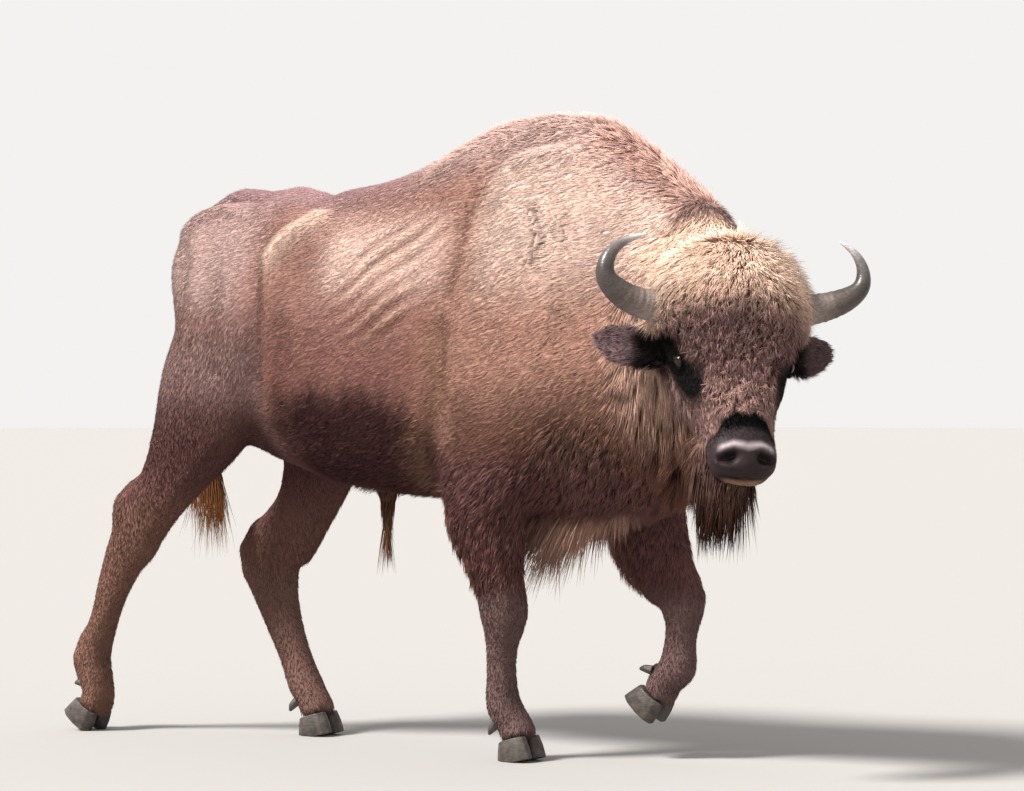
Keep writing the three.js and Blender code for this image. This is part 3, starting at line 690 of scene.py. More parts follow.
# --- Forms under the coat -----------------------------------------------------------------------------


@dataclass(frozen=True)
class Swelling:
    """A bone or muscle that stands out of the body, or a hollow where push is negative."""

    name: str
    at: tuple[float, float, float]
    reach: tuple[float, float, float]
    push: float

    def over(self, place: Array) -> Array:
        """How far it moves each point outwards."""
        return self.push * blob(place, self.at, self.reach)


@dataclass(frozen=True)
class Ridge:
    """A crest along a line of the body, or a crease where push is negative."""

    name: str
    path: Path
    width: float
    push: float
    flat: float = 0.35

    def over(self, place: Array) -> Array:
        """How far it moves each point outwards."""
        return self.push * np.exp(-((off_path(place, self.path, self.flat) / self.width) ** 2))


BODY_FORM: list[Swelling | Ridge] = [
    Ridge("hip bone", HIP, 0.024, 0.030),
    Swelling("under the hip bone", (-0.835, 0.215, 1.440), (0.060, 0.080, 0.060), 0.013),
    Swelling("hollow behind the hip", (-0.955, 0.200, 1.455), (0.062, 0.090, 0.055), -0.026),
    Swelling("hollow above the hip", (-0.760, 0.110, 1.555), (0.080, 0.060, 0.035), -0.016),
    Swelling("hollow before the hip", (-0.735, 0.235, 1.400), (0.060, 0.090, 0.085), -0.018),
    Swelling("hungry hollow", (-0.745, 0.250, 1.300), (0.060, 0.100, 0.080), -0.016),
    Ridge("front of the thigh", ((-0.868, 0.240, 1.372), (-0.857, 0.262, 1.289),
                                 (-0.854, 0.266, 1.180), (-0.854, 0.257, 1.061),
                                 (-0.868, 0.227, 0.960)), 0.034, 0.016),
    Ridge("crease of the thigh", ((-0.922, 0.232, 1.390), (-0.900, 0.261, 1.280),
                                  (-0.900, 0.265, 1.158), (-0.908, 0.250, 1.060)), 0.034, -0.014),
    Ridge("crease of the flank", ((-0.800, 0.262, 1.200), (-0.800, 0.262, 1.090),
                                  (-0.830, 0.240, 0.990)), 0.036, -0.010),
    Ridge("small fold", ((-0.778, 0.270, 1.184), (-0.700, 0.266, 1.206)), 0.012, 0.004),
    Ridge("rump rim", ((-1.315, 0.100, 1.488), (-1.283, 0.104, 1.508), (-1.233, 0.106, 1.533),
                       (-1.150, 0.112, 1.553), (-1.060, 0.130, 1.540)), 0.022, 0.021, 1.0),
    Ridge("hollow over the rim", ((-1.290, 0.052, 1.545), (-1.190, 0.066, 1.590),
                                  (-1.040, 0.080, 1.590)), 0.024, -0.019, 1.0),
    Swelling("tail head", (-1.180, 0.000, 1.615), (0.060, 0.036, 0.040), 0.015),
    Swelling("dip of the sacrum", (-1.045, 0.000, 1.610), (0.030, 0.050, 0.040), -0.006),
    Swelling("sacrum", (-0.935, 0.000, 1.615), (0.045, 0.050, 0.040), 0.015),
    Swelling("dip of the loin", (-0.815, 0.000, 1.600), (0.035, 0.070, 0.040), -0.019),
    Ridge("edge of the rump", ((-1.215, 0.150, 1.470), (-1.165, 0.200, 1.395),
                               (-1.160, 0.239, 1.284), (-1.185, 0.240, 1.190)), 0.034, 0.013),
    Ridge("groove of the ham", ((-1.085, 0.240, 1.330), (-1.070, 0.262, 1.200),
                                (-1.075, 0.260, 1.080)), 0.032, -0.014),
    Swelling("thigh", (-0.985, 0.265, 1.190), (0.055, 0.100, 0.120), 0.013),
    Swelling("groove beside the tail", (-1.300, 0.070, 1.430), (0.050, 0.028, 0.110), -0.019),
    Ridge("loin beam", ((-0.780, 0.100, 1.570), (-0.560, 0.095, 1.600),
                        (-0.380, 0.095, 1.640)), 0.030, 0.007, 1.0),
    Ridge("blade edge", ((-0.175, 0.240, 1.300), (-0.150, 0.235, 1.437), (-0.154, 0.214, 1.498),
                         (-0.129, 0.168, 1.590), (-0.096, 0.139, 1.645),
                         (0.002, 0.125, 1.672), (0.110, 0.122, 1.662)), 0.026, 0.018, 0.6),
    Ridge("hollow round the blade", ((-0.225, 0.235, 1.300), (-0.212, 0.230, 1.440),
                                     (-0.210, 0.195, 1.530), (-0.175, 0.145, 1.628),
                                     (-0.105, 0.100, 1.695), (0.010, 0.085, 1.720)),
          0.032, -0.019, 0.6),
    Ridge("behind the elbow", ELBOW_CREASE, 0.038, -0.018),
    Ridge("arm edge", ((-0.170, 0.300, 1.200), (-0.170, 0.300, 1.030),
                       (-0.195, 0.275, 0.900)), 0.034, 0.015),
    Swelling("shoulder point", (0.150, 0.290, 1.080), (0.090, 0.090, 0.100), 0.013),
    Swelling("blade muscle", (-0.060, 0.220, 1.480), (0.055, 0.080, 0.110), 0.009),
    Swelling("groove before the blade", (0.215, 0.220, 1.380), (0.040, 0.080, 0.160), -0.013),
    Ridge("fold of the shoulder", SCAR, 0.009, -0.019),
    Ridge("lip of the fold", ((0.048, 0.217, 1.520), (0.084, 0.233, 1.475),
                              (0.096, 0.251, 1.415)), 0.014, 0.006),
    Ridge("second fold", ((0.117, 0.217, 1.505), (0.138, 0.242, 1.400)), 0.012, -0.008),
    Ridge("low fold", ((0.155, 0.270, 1.290), (0.140, 0.295, 1.130)), 0.014, -0.008),
    Swelling("elbow", (-0.205, 0.200, 0.800), (0.050, 0.060, 0.060), 0.013),
]
FACE_FORM: list[Swelling | Ridge] = [
    Swelling("brow", (-0.024, 0.138, 0.046), (0.040, 0.034, 0.020), 0.008),
    Swelling("eye hollow", (0.020, 0.150, -0.004), (0.060, 0.040, 0.034), -0.006),
    Swelling("cheek bone", (0.050, 0.150, -0.052), (0.060, 0.040, 0.018), 0.008),
    Swelling("jaw muscle", (-0.010, 0.150, -0.150), (0.080, 0.060, 0.060), 0.010),
    Swelling("nostril wing", (0.290, 0.070, -0.002), (0.026, 0.020, 0.026), 0.008),
    Swelling("rim over the nostril", (0.279, 0.048, 0.024), (0.012, 0.030, 0.014), 0.006),
    Swelling("rim under the nostril", (0.322, 0.050, -0.010), (0.012, 0.022, 0.010), 0.005),
    Swelling("nostril", (0.301, 0.047, 0.010), (0.0135, 0.0165, 0.0150), -0.026),
    Swelling("nostril slit", (0.300, 0.066, -0.006), (0.009, 0.014, 0.008), -0.016),
    Swelling("nose pad", (0.322, 0.000, 0.004), (0.022, 0.026, 0.022), 0.004),
    Ridge("groove of the lip", ((0.330, 0.0, 0.000), (0.334, 0.0, -0.030)), 0.0045, -0.003),
    Ridge("upper lip", ((0.334, 0.0, -0.026), (0.326, 0.045, -0.030),
                        (0.290, 0.080, -0.045)), 0.011, 0.004, 1.0),
    Ridge("lower lip", ((0.338, 0.0, -0.058), (0.322, 0.045, -0.062),
                        (0.280, 0.076, -0.078)), 0.013, 0.006, 1.0),
    Ridge("mouth", MOUTH, 0.0055, -0.014, 1.0),
]


class Skin:
    """One closed skin over all the flesh, lying as deep under the solids as the coat is thick."""

    voxel: float = 0.0133
    smoothing: int = 52
    plump: float = 0.007
    rib_push: float = 0.0075
    horn_plug_x: float = -0.056
    horn_plugs: tuple[tuple[float, float, float], ...] = ((0.150, 0.0, 0.049), (0.175, 0.003, 0.047))
    # Where the painted shade inside each nostril lies, and how far it spreads.
    nostril: tuple[float, float, float] = (0.301, 0.048, 0.008)
    nostril_size: tuple[float, float, float] = (0.014, 0.017, 0.015)
    bunch_drawn: float = 0.48
    bunch_tops: tuple[tuple[str, float], ...] = (("beard", 0.90), ("throat_mane", 0.88),
                                                 ("sheath", 0.80), ("tail_tuft", 0.98))

    def __init__(self) -> None:
        """Makes the skin, its hide and its coat."""
        self.object = self._joined()
        self._relax_all()
        for area in (self._near_head, self._near_details, self._near_eyes):
            self._refine(area)
        self.hide = self._read_hide()
        self.coat = Coat(self.hide)
        self._shape()
        self.hide = self._read_hide(self.hide.part)
        self.coat = Coat(self.hide)
        self.flow = self._flow()
        self.raised = self._raised()
        self._dress()

    def _joined(self) -> bpy.types.Object:
        """The flesh, the bunches of hair and the fillings of the sockets as one closed mesh."""
        parts = [copy_node(name, f"flesh_{name}") for name in (*FLESH, *BUNCHES)]
        for side in Side:
            eye = Vector(eye_centre(side))
            parts.append(self._filling(FACE.matrix @ eye, EYE_RADIUS + 0.003))
            base = HORN_ROOT_HEIGHT[side]
            for aside, up, radius in self.horn_plugs:
                plug = Vector((self.horn_plug_x, side.value * aside, base + up))
                parts.append(self._filling(LEVEL_HEAD.matrix @ plug, radius))
        pick(*parts)
        bpy.ops.object.join()
        skin = bpy.context.object
        skin.name = "skin"
        skin.data.name = "skin"
        self._modify(skin, "REMESH", mode="VOXEL", voxel_size=self.voxel)
        pick(skin)
        with editing():
            bpy.ops.mesh.separate(type="LOOSE")
        loose = list(bpy.context.selected_objects)
        skin = max(loose, key=lambda o: len(o.data.vertices))
        for other in loose:
            if other is not skin:
                bpy.data.objects.remove(other)
        skin.name = "skin"
        return skin

    def _filling(self, at: Vector, radius: float) -> bpy.types.Object:
        """A ball that fills a socket of the head, so the skin runs on over it."""
        deselect()
        bpy.ops.mesh.primitive_uv_sphere_add(segments=24, ring_count=12, radius=radius, location=at)
        bpy.ops.object.transform_apply(location=True, rotation=True, scale=True)
        return bpy.context.object

    @staticmethod
    def _modify(piece: bpy.types.Object, kind: str, **settings: object) -> None:
        """Adds one modifier with its settings and applies it."""
        pick(piece)
        modifier = piece.modifiers.new(kind.lower(), kind)
        for name, value in settings.items():
            setattr(modifier, name, value)
        bpy.ops.object.modifier_apply(modifier=modifier.name)

    def _relax_all(self) -> None:
        """Rounds the flat facets off, the trunk most, and the limbs without thinning them."""
        mesh = self.object.data
        co = corners_of(mesh)
        edges = edges_of(mesh)
        part = self._belonging(co)
        even = np.full(len(co), 0.5)
        strength = 0.5 * part["trunk"] + 0.4 * part["neck"] + 0.10 * part["head"]
        strength = relax(strength[:, None], edges, even, 10)[:, 0]
        co = relax(co, edges, strength, self.smoothing)
        for _ in range(8):
            co = relax(co, edges, even, 1)
            co = relax(co, edges, -1.04 * even, 1)
        set_corners(mesh, co)

    @staticmethod
    def _belonging(co: Array) -> dict[str, Array]:
        """Sorts points by the solid that is nearest.

        Args:
            co: The points.

        Returns:
            For each solid of flesh or hair, 1 where it is the nearest one and 0 elsewhere.
        """
        corners: list[Vector] = []
        faces: list[tuple[int, ...]] = []
        owner: list[int] = []
        names = (*FLESH, *BUNCHES)
        for index, name in enumerate(names):
            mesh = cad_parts[name].data
            start = len(corners)
            corners.extend(v.co.copy() for v in mesh.vertices)
            faces.extend(tuple(start + i for i in p.vertices) for p in mesh.polygons)
            owner.extend([index] * len(mesh.polygons))
        tree = BVHTree.FromPolygons(corners, faces)
        nearest = np.array([owner[tree.find_nearest(Vector(p))[2]] for p in co])
        return {name: (nearest == index).astype(float) for index, name in enumerate(names)}

    def _refine(self, chosen: Callable[[Array], Array]) -> None:
        """Halves the faces in one area and rounds it again.

        Args:
            chosen: Tells for each vertex whether it is in the area.
        """
        mesh = self.object.data
        inside = chosen(corners_of(mesh))
        work = bmesh.new()
        work.from_mesh(mesh)
        work.verts.ensure_lookup_table()
        edges = [e for e in work.edges if inside[e.verts[0].index] and inside[e.verts[1].index]]
        bmesh.ops.subdivide_edges(work, edges=edges, cuts=1, use_grid_fill=True)
        bmesh.ops.triangulate(work, faces=[f for f in work.faces if len(f.verts) > 4])
        work.to_mesh(mesh)
        work.free()
        mesh.update()
        co = corners_of(mesh)
        strength = 0.5 * chosen(co).astype(float)
        set_corners(mesh, relax(co, edges_of(mesh), strength, 3))

    @staticmethod
    def _near_head(co: Array) -> Array:
        """The head in front of the neck."""
        x, y, z = FACE.inside(co).T
        return (x > -0.20) & (x < 0.37) & (np.abs(y) < 0.27) & (z > -0.29)

    @staticmethod
    def _near_details(co: Array) -> Array:
        """The muzzle and the places round the eyes."""
        x, y, z = FACE.inside(co).T
        muzzle = (x > 0.225) & (z > -0.19)
        eyes = np.hypot(np.hypot(x - EYE_AT[0], z - EYE_AT[2]), np.abs(y) - EYE_AT[1]) < 0.058
        return muzzle | eyes

    @staticmethod
    def _near_eyes(co: Array) -> Array:
        """The lids, and the nostrils."""
        x, y, z = FACE.inside(co).T
        eyes = np.hypot(np.hypot(x - EYE_AT[0], z - EYE_AT[2]), np.abs(y) - EYE_AT[1]) < 0.040
        nostrils = (x > 0.285) & (z > -0.065) & (np.abs(y) < 0.085)
        return eyes | nostrils

    def _read_hide(self, part: dict[str, Array] | None = None) -> Hide:
        """Where every vertex of the skin lies, with the borders of its parts made soft.

        Args:
            part: The parts from an earlier reading, kept as they are.

        Returns:
            The hide at the skin's vertices.
        """
        mesh = self.object.data
        co = corners_of(mesh)
        if part is None:
            part = self._belonging(co)
            table = np.stack(list(part.values()), 1)
            soft = relax(table, edges_of(mesh), np.full(len(co), 0.6), 4)
            wide = relax(soft, edges_of(mesh), np.full(len(co), 0.6), 30)
            body = (*TORSO, *FORELEGS, *HINDLEGS)
            part = {name: (wide if name in body else soft)[:, k] for k, name in enumerate(part)}
        face = FACE.inside(co)
        face[:, 1] = np.abs(face[:, 1])
        return Hide(co, normals_of(mesh), ANIMAL.inside(co), face, part)

    def _shape(self) -> None:
        """Draws the skin in by the depth of the coat and gives it its bones, folds and lids."""
        mesh = self.object.data
        hide = self.hide
        edges = edges_of(mesh)
        count = len(hide.x)
        even = np.full(count, 0.5)
        smooth = unit(relax(hide.normal, edges, even, 4))
        depth = relax(self.coat.numbers["depth"][:, None], edges, even, 6)[:, 0]
        push = -np.clip(depth, 0.001, 0.05)
        body = np.stack([hide.x, hide.aside, hide.z], 1)
        torso = hide.on(*TORSO, *HINDLEGS, *FORELEGS)
        for form in BODY_FORM:
            push += form.over(body) * torso
        push += self.rib_push * rib_wave(hide) + self.plump * hide.on("trunk")
        for form in FACE_FORM:
            push += form.over(hide.face) * hide.on("head")
        push += self._ear_hollow(hide)
        co = hide.place + smooth * push[:, None]
        for bunch, top in self.bunch_tops:
            hung = np.minimum(co[:, 2] - top, 0.0) * hide.on(bunch)
            co[:, 2] -= self.bunch_drawn * hung
        set_corners(mesh, self._lids(co))

    def _ear_hollow(self, hide: Hide) -> Array:
        """The bowl of each ear, open to the front.

        Args:
            hide: The skin's vertices.

        Returns:
            How far each vertex moves outwards, below 0 in the bowl.
        """
        ahead = LEVEL_HEAD.turned(np.array([[0.87, 0.0, -0.25]]))[0]
        level = LEVEL_HEAD.inside(hide.place)
        aside = np.abs(level[:, 1])
        front = fade(hide.normal @ ahead, 0.30, 0.75)
        bowl = between(aside, 0.205, 0.300, 0.02)
        centre = np.interp(aside, [0.14, 0.20, 0.252, 0.298, 0.332],
                           [0.030, 0.032, 0.036, 0.048, 0.060])
        across = np.exp(-((level[:, 2] - centre) / 0.030) ** 2)
        return -0.014 * front * bowl * across * hide.on(*EARS)

    @staticmethod
    def _lids(co: Array) -> Array:
        """Fits the skin round each eyeball: lids on its outside and an opening between them.

        Args:
            co: The skin's vertices.

        Returns:
            The same vertices, with those near an eye moved.
        """
        face = FACE.inside(co)
        for side in Side:
            centre = np.array(eye_centre(side))
            away = face - centre
            dist = np.linalg.norm(away, axis=1)
            gaze = unit(gaze_of(side))[0]
            slant = unit(np.array([[0.95, 0.0, -0.30]]))[0]
            slant = slant - gaze * (slant @ gaze)
            slant /= np.linalg.norm(slant)
            rise = np.cross(gaze, slant) * side.value
            way = away / np.maximum(dist, 1e-6)[:, None]
            along, up, out = way @ slant, way @ rise, way @ gaze
            open_at = np.sqrt((along / 0.80) ** 2 + (up / 0.46) ** 2)
            inside = (out > 0.1) & (dist < 0.055)
            lid = EYE_RADIUS + 0.0018 + 0.0030 * np.exp(-(((open_at - 1.12) / 0.16) ** 2))
            lid = lid + 0.0026 * np.exp(-(((open_at - 1.75) / 0.18) ** 2))
            near = inside & (dist < EYE_RADIUS + 0.014) & (open_at < 2.2)
            target = np.where(open_at < 1.0, EYE_RADIUS - 0.006,
                              np.maximum(np.minimum(dist, lid + 0.004), lid))
            blend = np.where(open_at < 1.0, 1.0, fade(open_at, 2.2, 1.5))
            new = dist + (target - dist) * blend
            face = np.where(near[:, None], centre + way * new[:, None], face)
        return FACE.outside(face)

    def _flow(self) -> Array:
        """The lie of the coat along the skin at every vertex."""
        edges = edges_of(self.object.data)
        way = lie_of_coat(self.hide)
        even = np.full(len(way), 0.5)
        for _ in range(3):
            way = relax(way, edges, even, 4)
            away = (way * self.hide.normal).sum(1, keepdims=True)
            way = unit(way - self.hide.normal * away)
        return way

    def _raised(self) -> Array:
        """How many degrees more the hair stands up in a hollow, so the skin ahead does not hide it."""
        mesh = self.object.data
        hide = self.hide
        tree = BVHTree.FromPolygons([v.co for v in mesh.vertices],
                                    [tuple(p.vertices) for p in mesh.polygons])
        length = np.minimum(self.coat.numbers["length"], 0.045)
        lift = np.radians(self.coat.numbers["lift"])
        way = self.flow * np.cos(lift)[:, None] + hide.normal * np.sin(lift)[:, None]
        lack = np.zeros(len(length))
        for reach in (0.5, 1.0):
            tips = hide.place - hide.normal * 0.0013 + way * (length * reach)[:, None]
            for index, tip in enumerate(tips):
                near, normal, _, _ = tree.find_nearest(Vector(tip))
                height = (Vector(tip) - near).dot(normal)
                lack[index] = max(lack[index], (0.0022 * reach - height) / (length[index] * reach))
        lack = np.degrees(np.arctan(np.clip(lack, 0.0, 0.8)))
        return relax(lack[:, None], edges_of(mesh), np.full(len(lack), 0.5), 3)[:, 0]

    def _dress(self) -> None:
        """Stores the markings on the skin, with painted shade inside the nostrils, and gives it its
        material.
        """
        mesh = self.object.data
        hide = self.hide
        bare = np.clip(on_muzzle(hide) + 0.4 * by_eye(hide), 0, 1)
        # Painted shade inside the nostrils: the colour goes almost black there.
        hollow = blob(hide.face, self.nostril, self.nostril_size) * hide.on("head")
        shade = 0.86 + 0.14 * bare
        blend = 0.6 * self.coat.colour + 0.4 * self.coat.tip
        colours = blend * shade[:, None] * (1 - 0.96 * np.clip(2.4 * hollow, 0, 1))[:, None]
        paint(mesh, "marking", colours)
        weigh(mesh, "bare", bare)
        weigh(mesh, "upright", np.abs(self.flow[:, 2]))
        shade_smooth(mesh)
        mesh.materials.append(HIDE_FINISH.material())
        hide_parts(*FLESH)
        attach(self.object, "root")
        mesh.calc_loop_triangles()
        log.info("skin: %d triangles", len(mesh.loop_triangles))


# --- Tufts ----------------------------------------------------------------------------------------------


@dataclass
class Tufts:
    """Many tufts, one row each: where they grow, how they lie and how they are coloured.

    pull is the way from a tuft's root to the root of the lock it belongs to, and spot is the place
    of its root on the map.
    """

    root: Array
    normal: Array
    flow: Array
    pull: Array
    colour: Array
    tip: Array
    length: Array
    width: Array
    lift: Array
    curl: Array
    droop: Array
    spot: Array

    def chosen(self, mask: Array) -> "Tufts":
        """Only the tufts that the mask picks."""
        return Tufts(*(getattr(self, name)[mask] for name in self.__dataclass_fields__))


PATCH_SIZE = 0.003


def tuft_shapes(tufts: Tufts, rings: int, rng: np.random.Generator) -> tuple[Array, ...]:
    """Closed three-sided blades that bend along the body and end in a point.

    Args:
        tufts: Where and how they grow.
        rings: How many rings each has before its point.
        rng: The source of their small differences.

    Returns:
        Vertex places, triangles, the map place of every triangle corner, and vertex colours.
    """
    count = len(tufts.root)
    normal = tufts.normal
    lift = np.radians(tufts.lift)[:, None]
    down = np.array([[0.0, 0.0, -1.0]])
    way = tufts.flow * np.cos(lift) + normal * np.sin(lift)
    way = unit(way + down * tufts.droop[:, None] * 1.6)
    turn = tufts.curl[:, None] * rng.normal(0, 0.9, (count, 1))
    sway = tufts.curl[:, None] * rng.normal(0, 0.35, (count, 1))
    step = (tufts.length / rings)[:, None]
    place = tufts.root - normal * (0.0010 + 0.012 * tufts.length[:, None])
    rows, tints = [], []
    for ring in range(rings + 1):
        part = ring / rings
        if ring == rings:
            rows.append(place[:, None, :])
        else:
            across = unit(np.cross(normal, way) + 1e-6)
            over = np.cross(way, across)
            wide = (tufts.width * (1 - part**2.2))[:, None] * 0.5
            rows.append(np.stack([place - across * wide, place + across * wide,
                                  place + over * wide * 0.8], 1))
            place = place + way * step + tufts.pull / rings
            way = unit(way + np.cross(normal, way) * turn / rings
                       + down * tufts.droop[:, None] * 1.1 / rings
                       - normal * (np.sin(lift) * 0.7 - sway) / rings)
        # Painted shade at the root, where the hair shades itself: 0.8 at the root, gone a little past
        # halfway up.
        dark = 0.80 + 0.20 * min(1.0, part * 1.8)
        tint = (tufts.colour * (1 - part) + tufts.tip * part) * dark
        tints.append(np.repeat(tint[:, None, :], rows[-1].shape[1], 1))
    each = 3 * rings + 1
    vertices = np.concatenate(rows, 1).reshape(-1, 3)
    colours = np.concatenate(tints, 1).reshape(-1, 3)
    corners, spots = [(0, 2, 1)], [((0.1, 0.0), (0.5, 0.1), (0.9, 0.0))]
    for ring in range(rings):
        low, high = 0.12 + 0.88 * ring / rings, 0.12 + 0.88 * (ring + 1) / rings
        for k in range(3):
            a, b = 3 * ring + k, 3 * ring + (k + 1) % 3
            left, right = k / 3, (k + 0.96) / 3
            if ring == rings - 1:
                corners.append((a, b, each - 1))
                spots.append(((left, low), (right, low), ((left + right) / 2, high)))
            else:
                corners.append((a, b, b + 3))
                spots.append(((left, low), (right, low), (right, high)))
                corners.append((a, b + 3, a + 3))
                spots.append(((left, low), (right, high), (left, high)))
    faces = np.array(corners)[None] + (np.arange(count) * each)[:, None, None]
    uv = tufts.spot[:, None, None, :] + (np.array(spots)[None] - 0.5) * PATCH_SIZE
    return vertices, faces.reshape(-1, 3), uv.reshape(-1, 2), colours


def triangle_mesh(name: str, vertices: Array, faces: Array, uv: Array,
                  colours: Array) -> bpy.types.Object:
    """A piece made of triangles, with its map and its colours.

    Args:
        name: The piece's name.
        vertices: Its vertex places.
        faces: Its triangles.
        uv: The map place of every triangle corner.
        colours: One colour for every vertex.

    Returns:
        The new piece.
    """
    mesh = bpy.data.meshes.new(name)
    mesh.vertices.add(len(vertices))
    mesh.vertices.foreach_set("co", vertices.ravel())
    mesh.loops.add(faces.size)
    mesh.loops.foreach_set("vertex_index", faces.ravel().astype(np.int32))
    mesh.polygons.add(len(faces))
    mesh.polygons.foreach_set("loop_start", np.arange(0, faces.size, 3, dtype=np.int32))
    mesh.polygons.foreach_set("use_smooth", np.ones(len(faces), bool))
    mesh.update(calc_edges=True)
    mesh.validate()
    layer = mesh.uv_layers.new(name="OFBake")
    layer.data.foreach_set("uv", uv.ravel())
    paint(mesh, "marking", colours)
    piece = added(name, mesh)
    return piece


@dataclass(frozen=True)
class Area:
    """One piece of the coat: where it grows, a material slot that is not used, and the solids it stands
    for.
    """

    name: str
    slot: str
    where: Callable[[Hide], Array]
    stands_for: tuple[str, ...] = ()


# Each area takes its part of the hide from the ones before it.
AREAS = [
    Area("coat_right_flank", "coat_flank", lambda h: h.x < 9),
    Area("coat_left_flank", "coat_flank", lambda h: h.side > 0),
    Area("coat_right_shoulder", "coat_flank", lambda h: (h.x > -0.27) & (h.side <= 0)),
    Area("coat_left_shoulder", "coat_flank", lambda h: (h.x > -0.27) & (h.side > 0)),
    Area("coat_rump", "coat_flank", lambda h: h.x < -0.90),
    Area("coat_hump", "coat_mane", lambda h: (h.aside < 0.17) & (h.x > -0.44) & (h.z > 1.45)),
    Area("coat_right_neck", "coat_mane", lambda h: (h.on("neck") > 0.5) & (h.side <= 0)),
    Area("coat_left_neck", "coat_mane", lambda h: (h.on("neck") > 0.5) & (h.side > 0)),
    Area("coat_crown", "coat_crown", lambda h: (h.on("head") > 0.5) & (h.face[:, 0] < -0.13)),
    Area("coat_face", "coat_crown", lambda h: (h.on("head") > 0.5) & (h.face[:, 0] >= -0.13)),
    Area("coat_ears", "coat_ear", lambda h: h.on(*EARS) > 0.5),
    Area("coat_forelegs", "coat_dark", lambda h: h.on(*FORELEGS) > 0.5),
    Area("coat_hindlegs", "coat_dark", lambda h: h.on(*HINDLEGS, "tail") > 0.5),
    Area("coat_throat", "coat_beard", lambda h: h.on("throat_mane") > 0.5, ("throat_mane",)),
    Area("coat_beard", "coat_beard", lambda h: h.on("beard") > 0.5, ("beard",)),
    Area("coat_sheath", "coat_beard", lambda h: h.on("sheath") > 0.5, ("sheath",)),
    Area("coat_tail_tuft", "coat_tuft", lambda h: h.on("tail_tuft") > 0.5, ("tail_tuft",)),
]


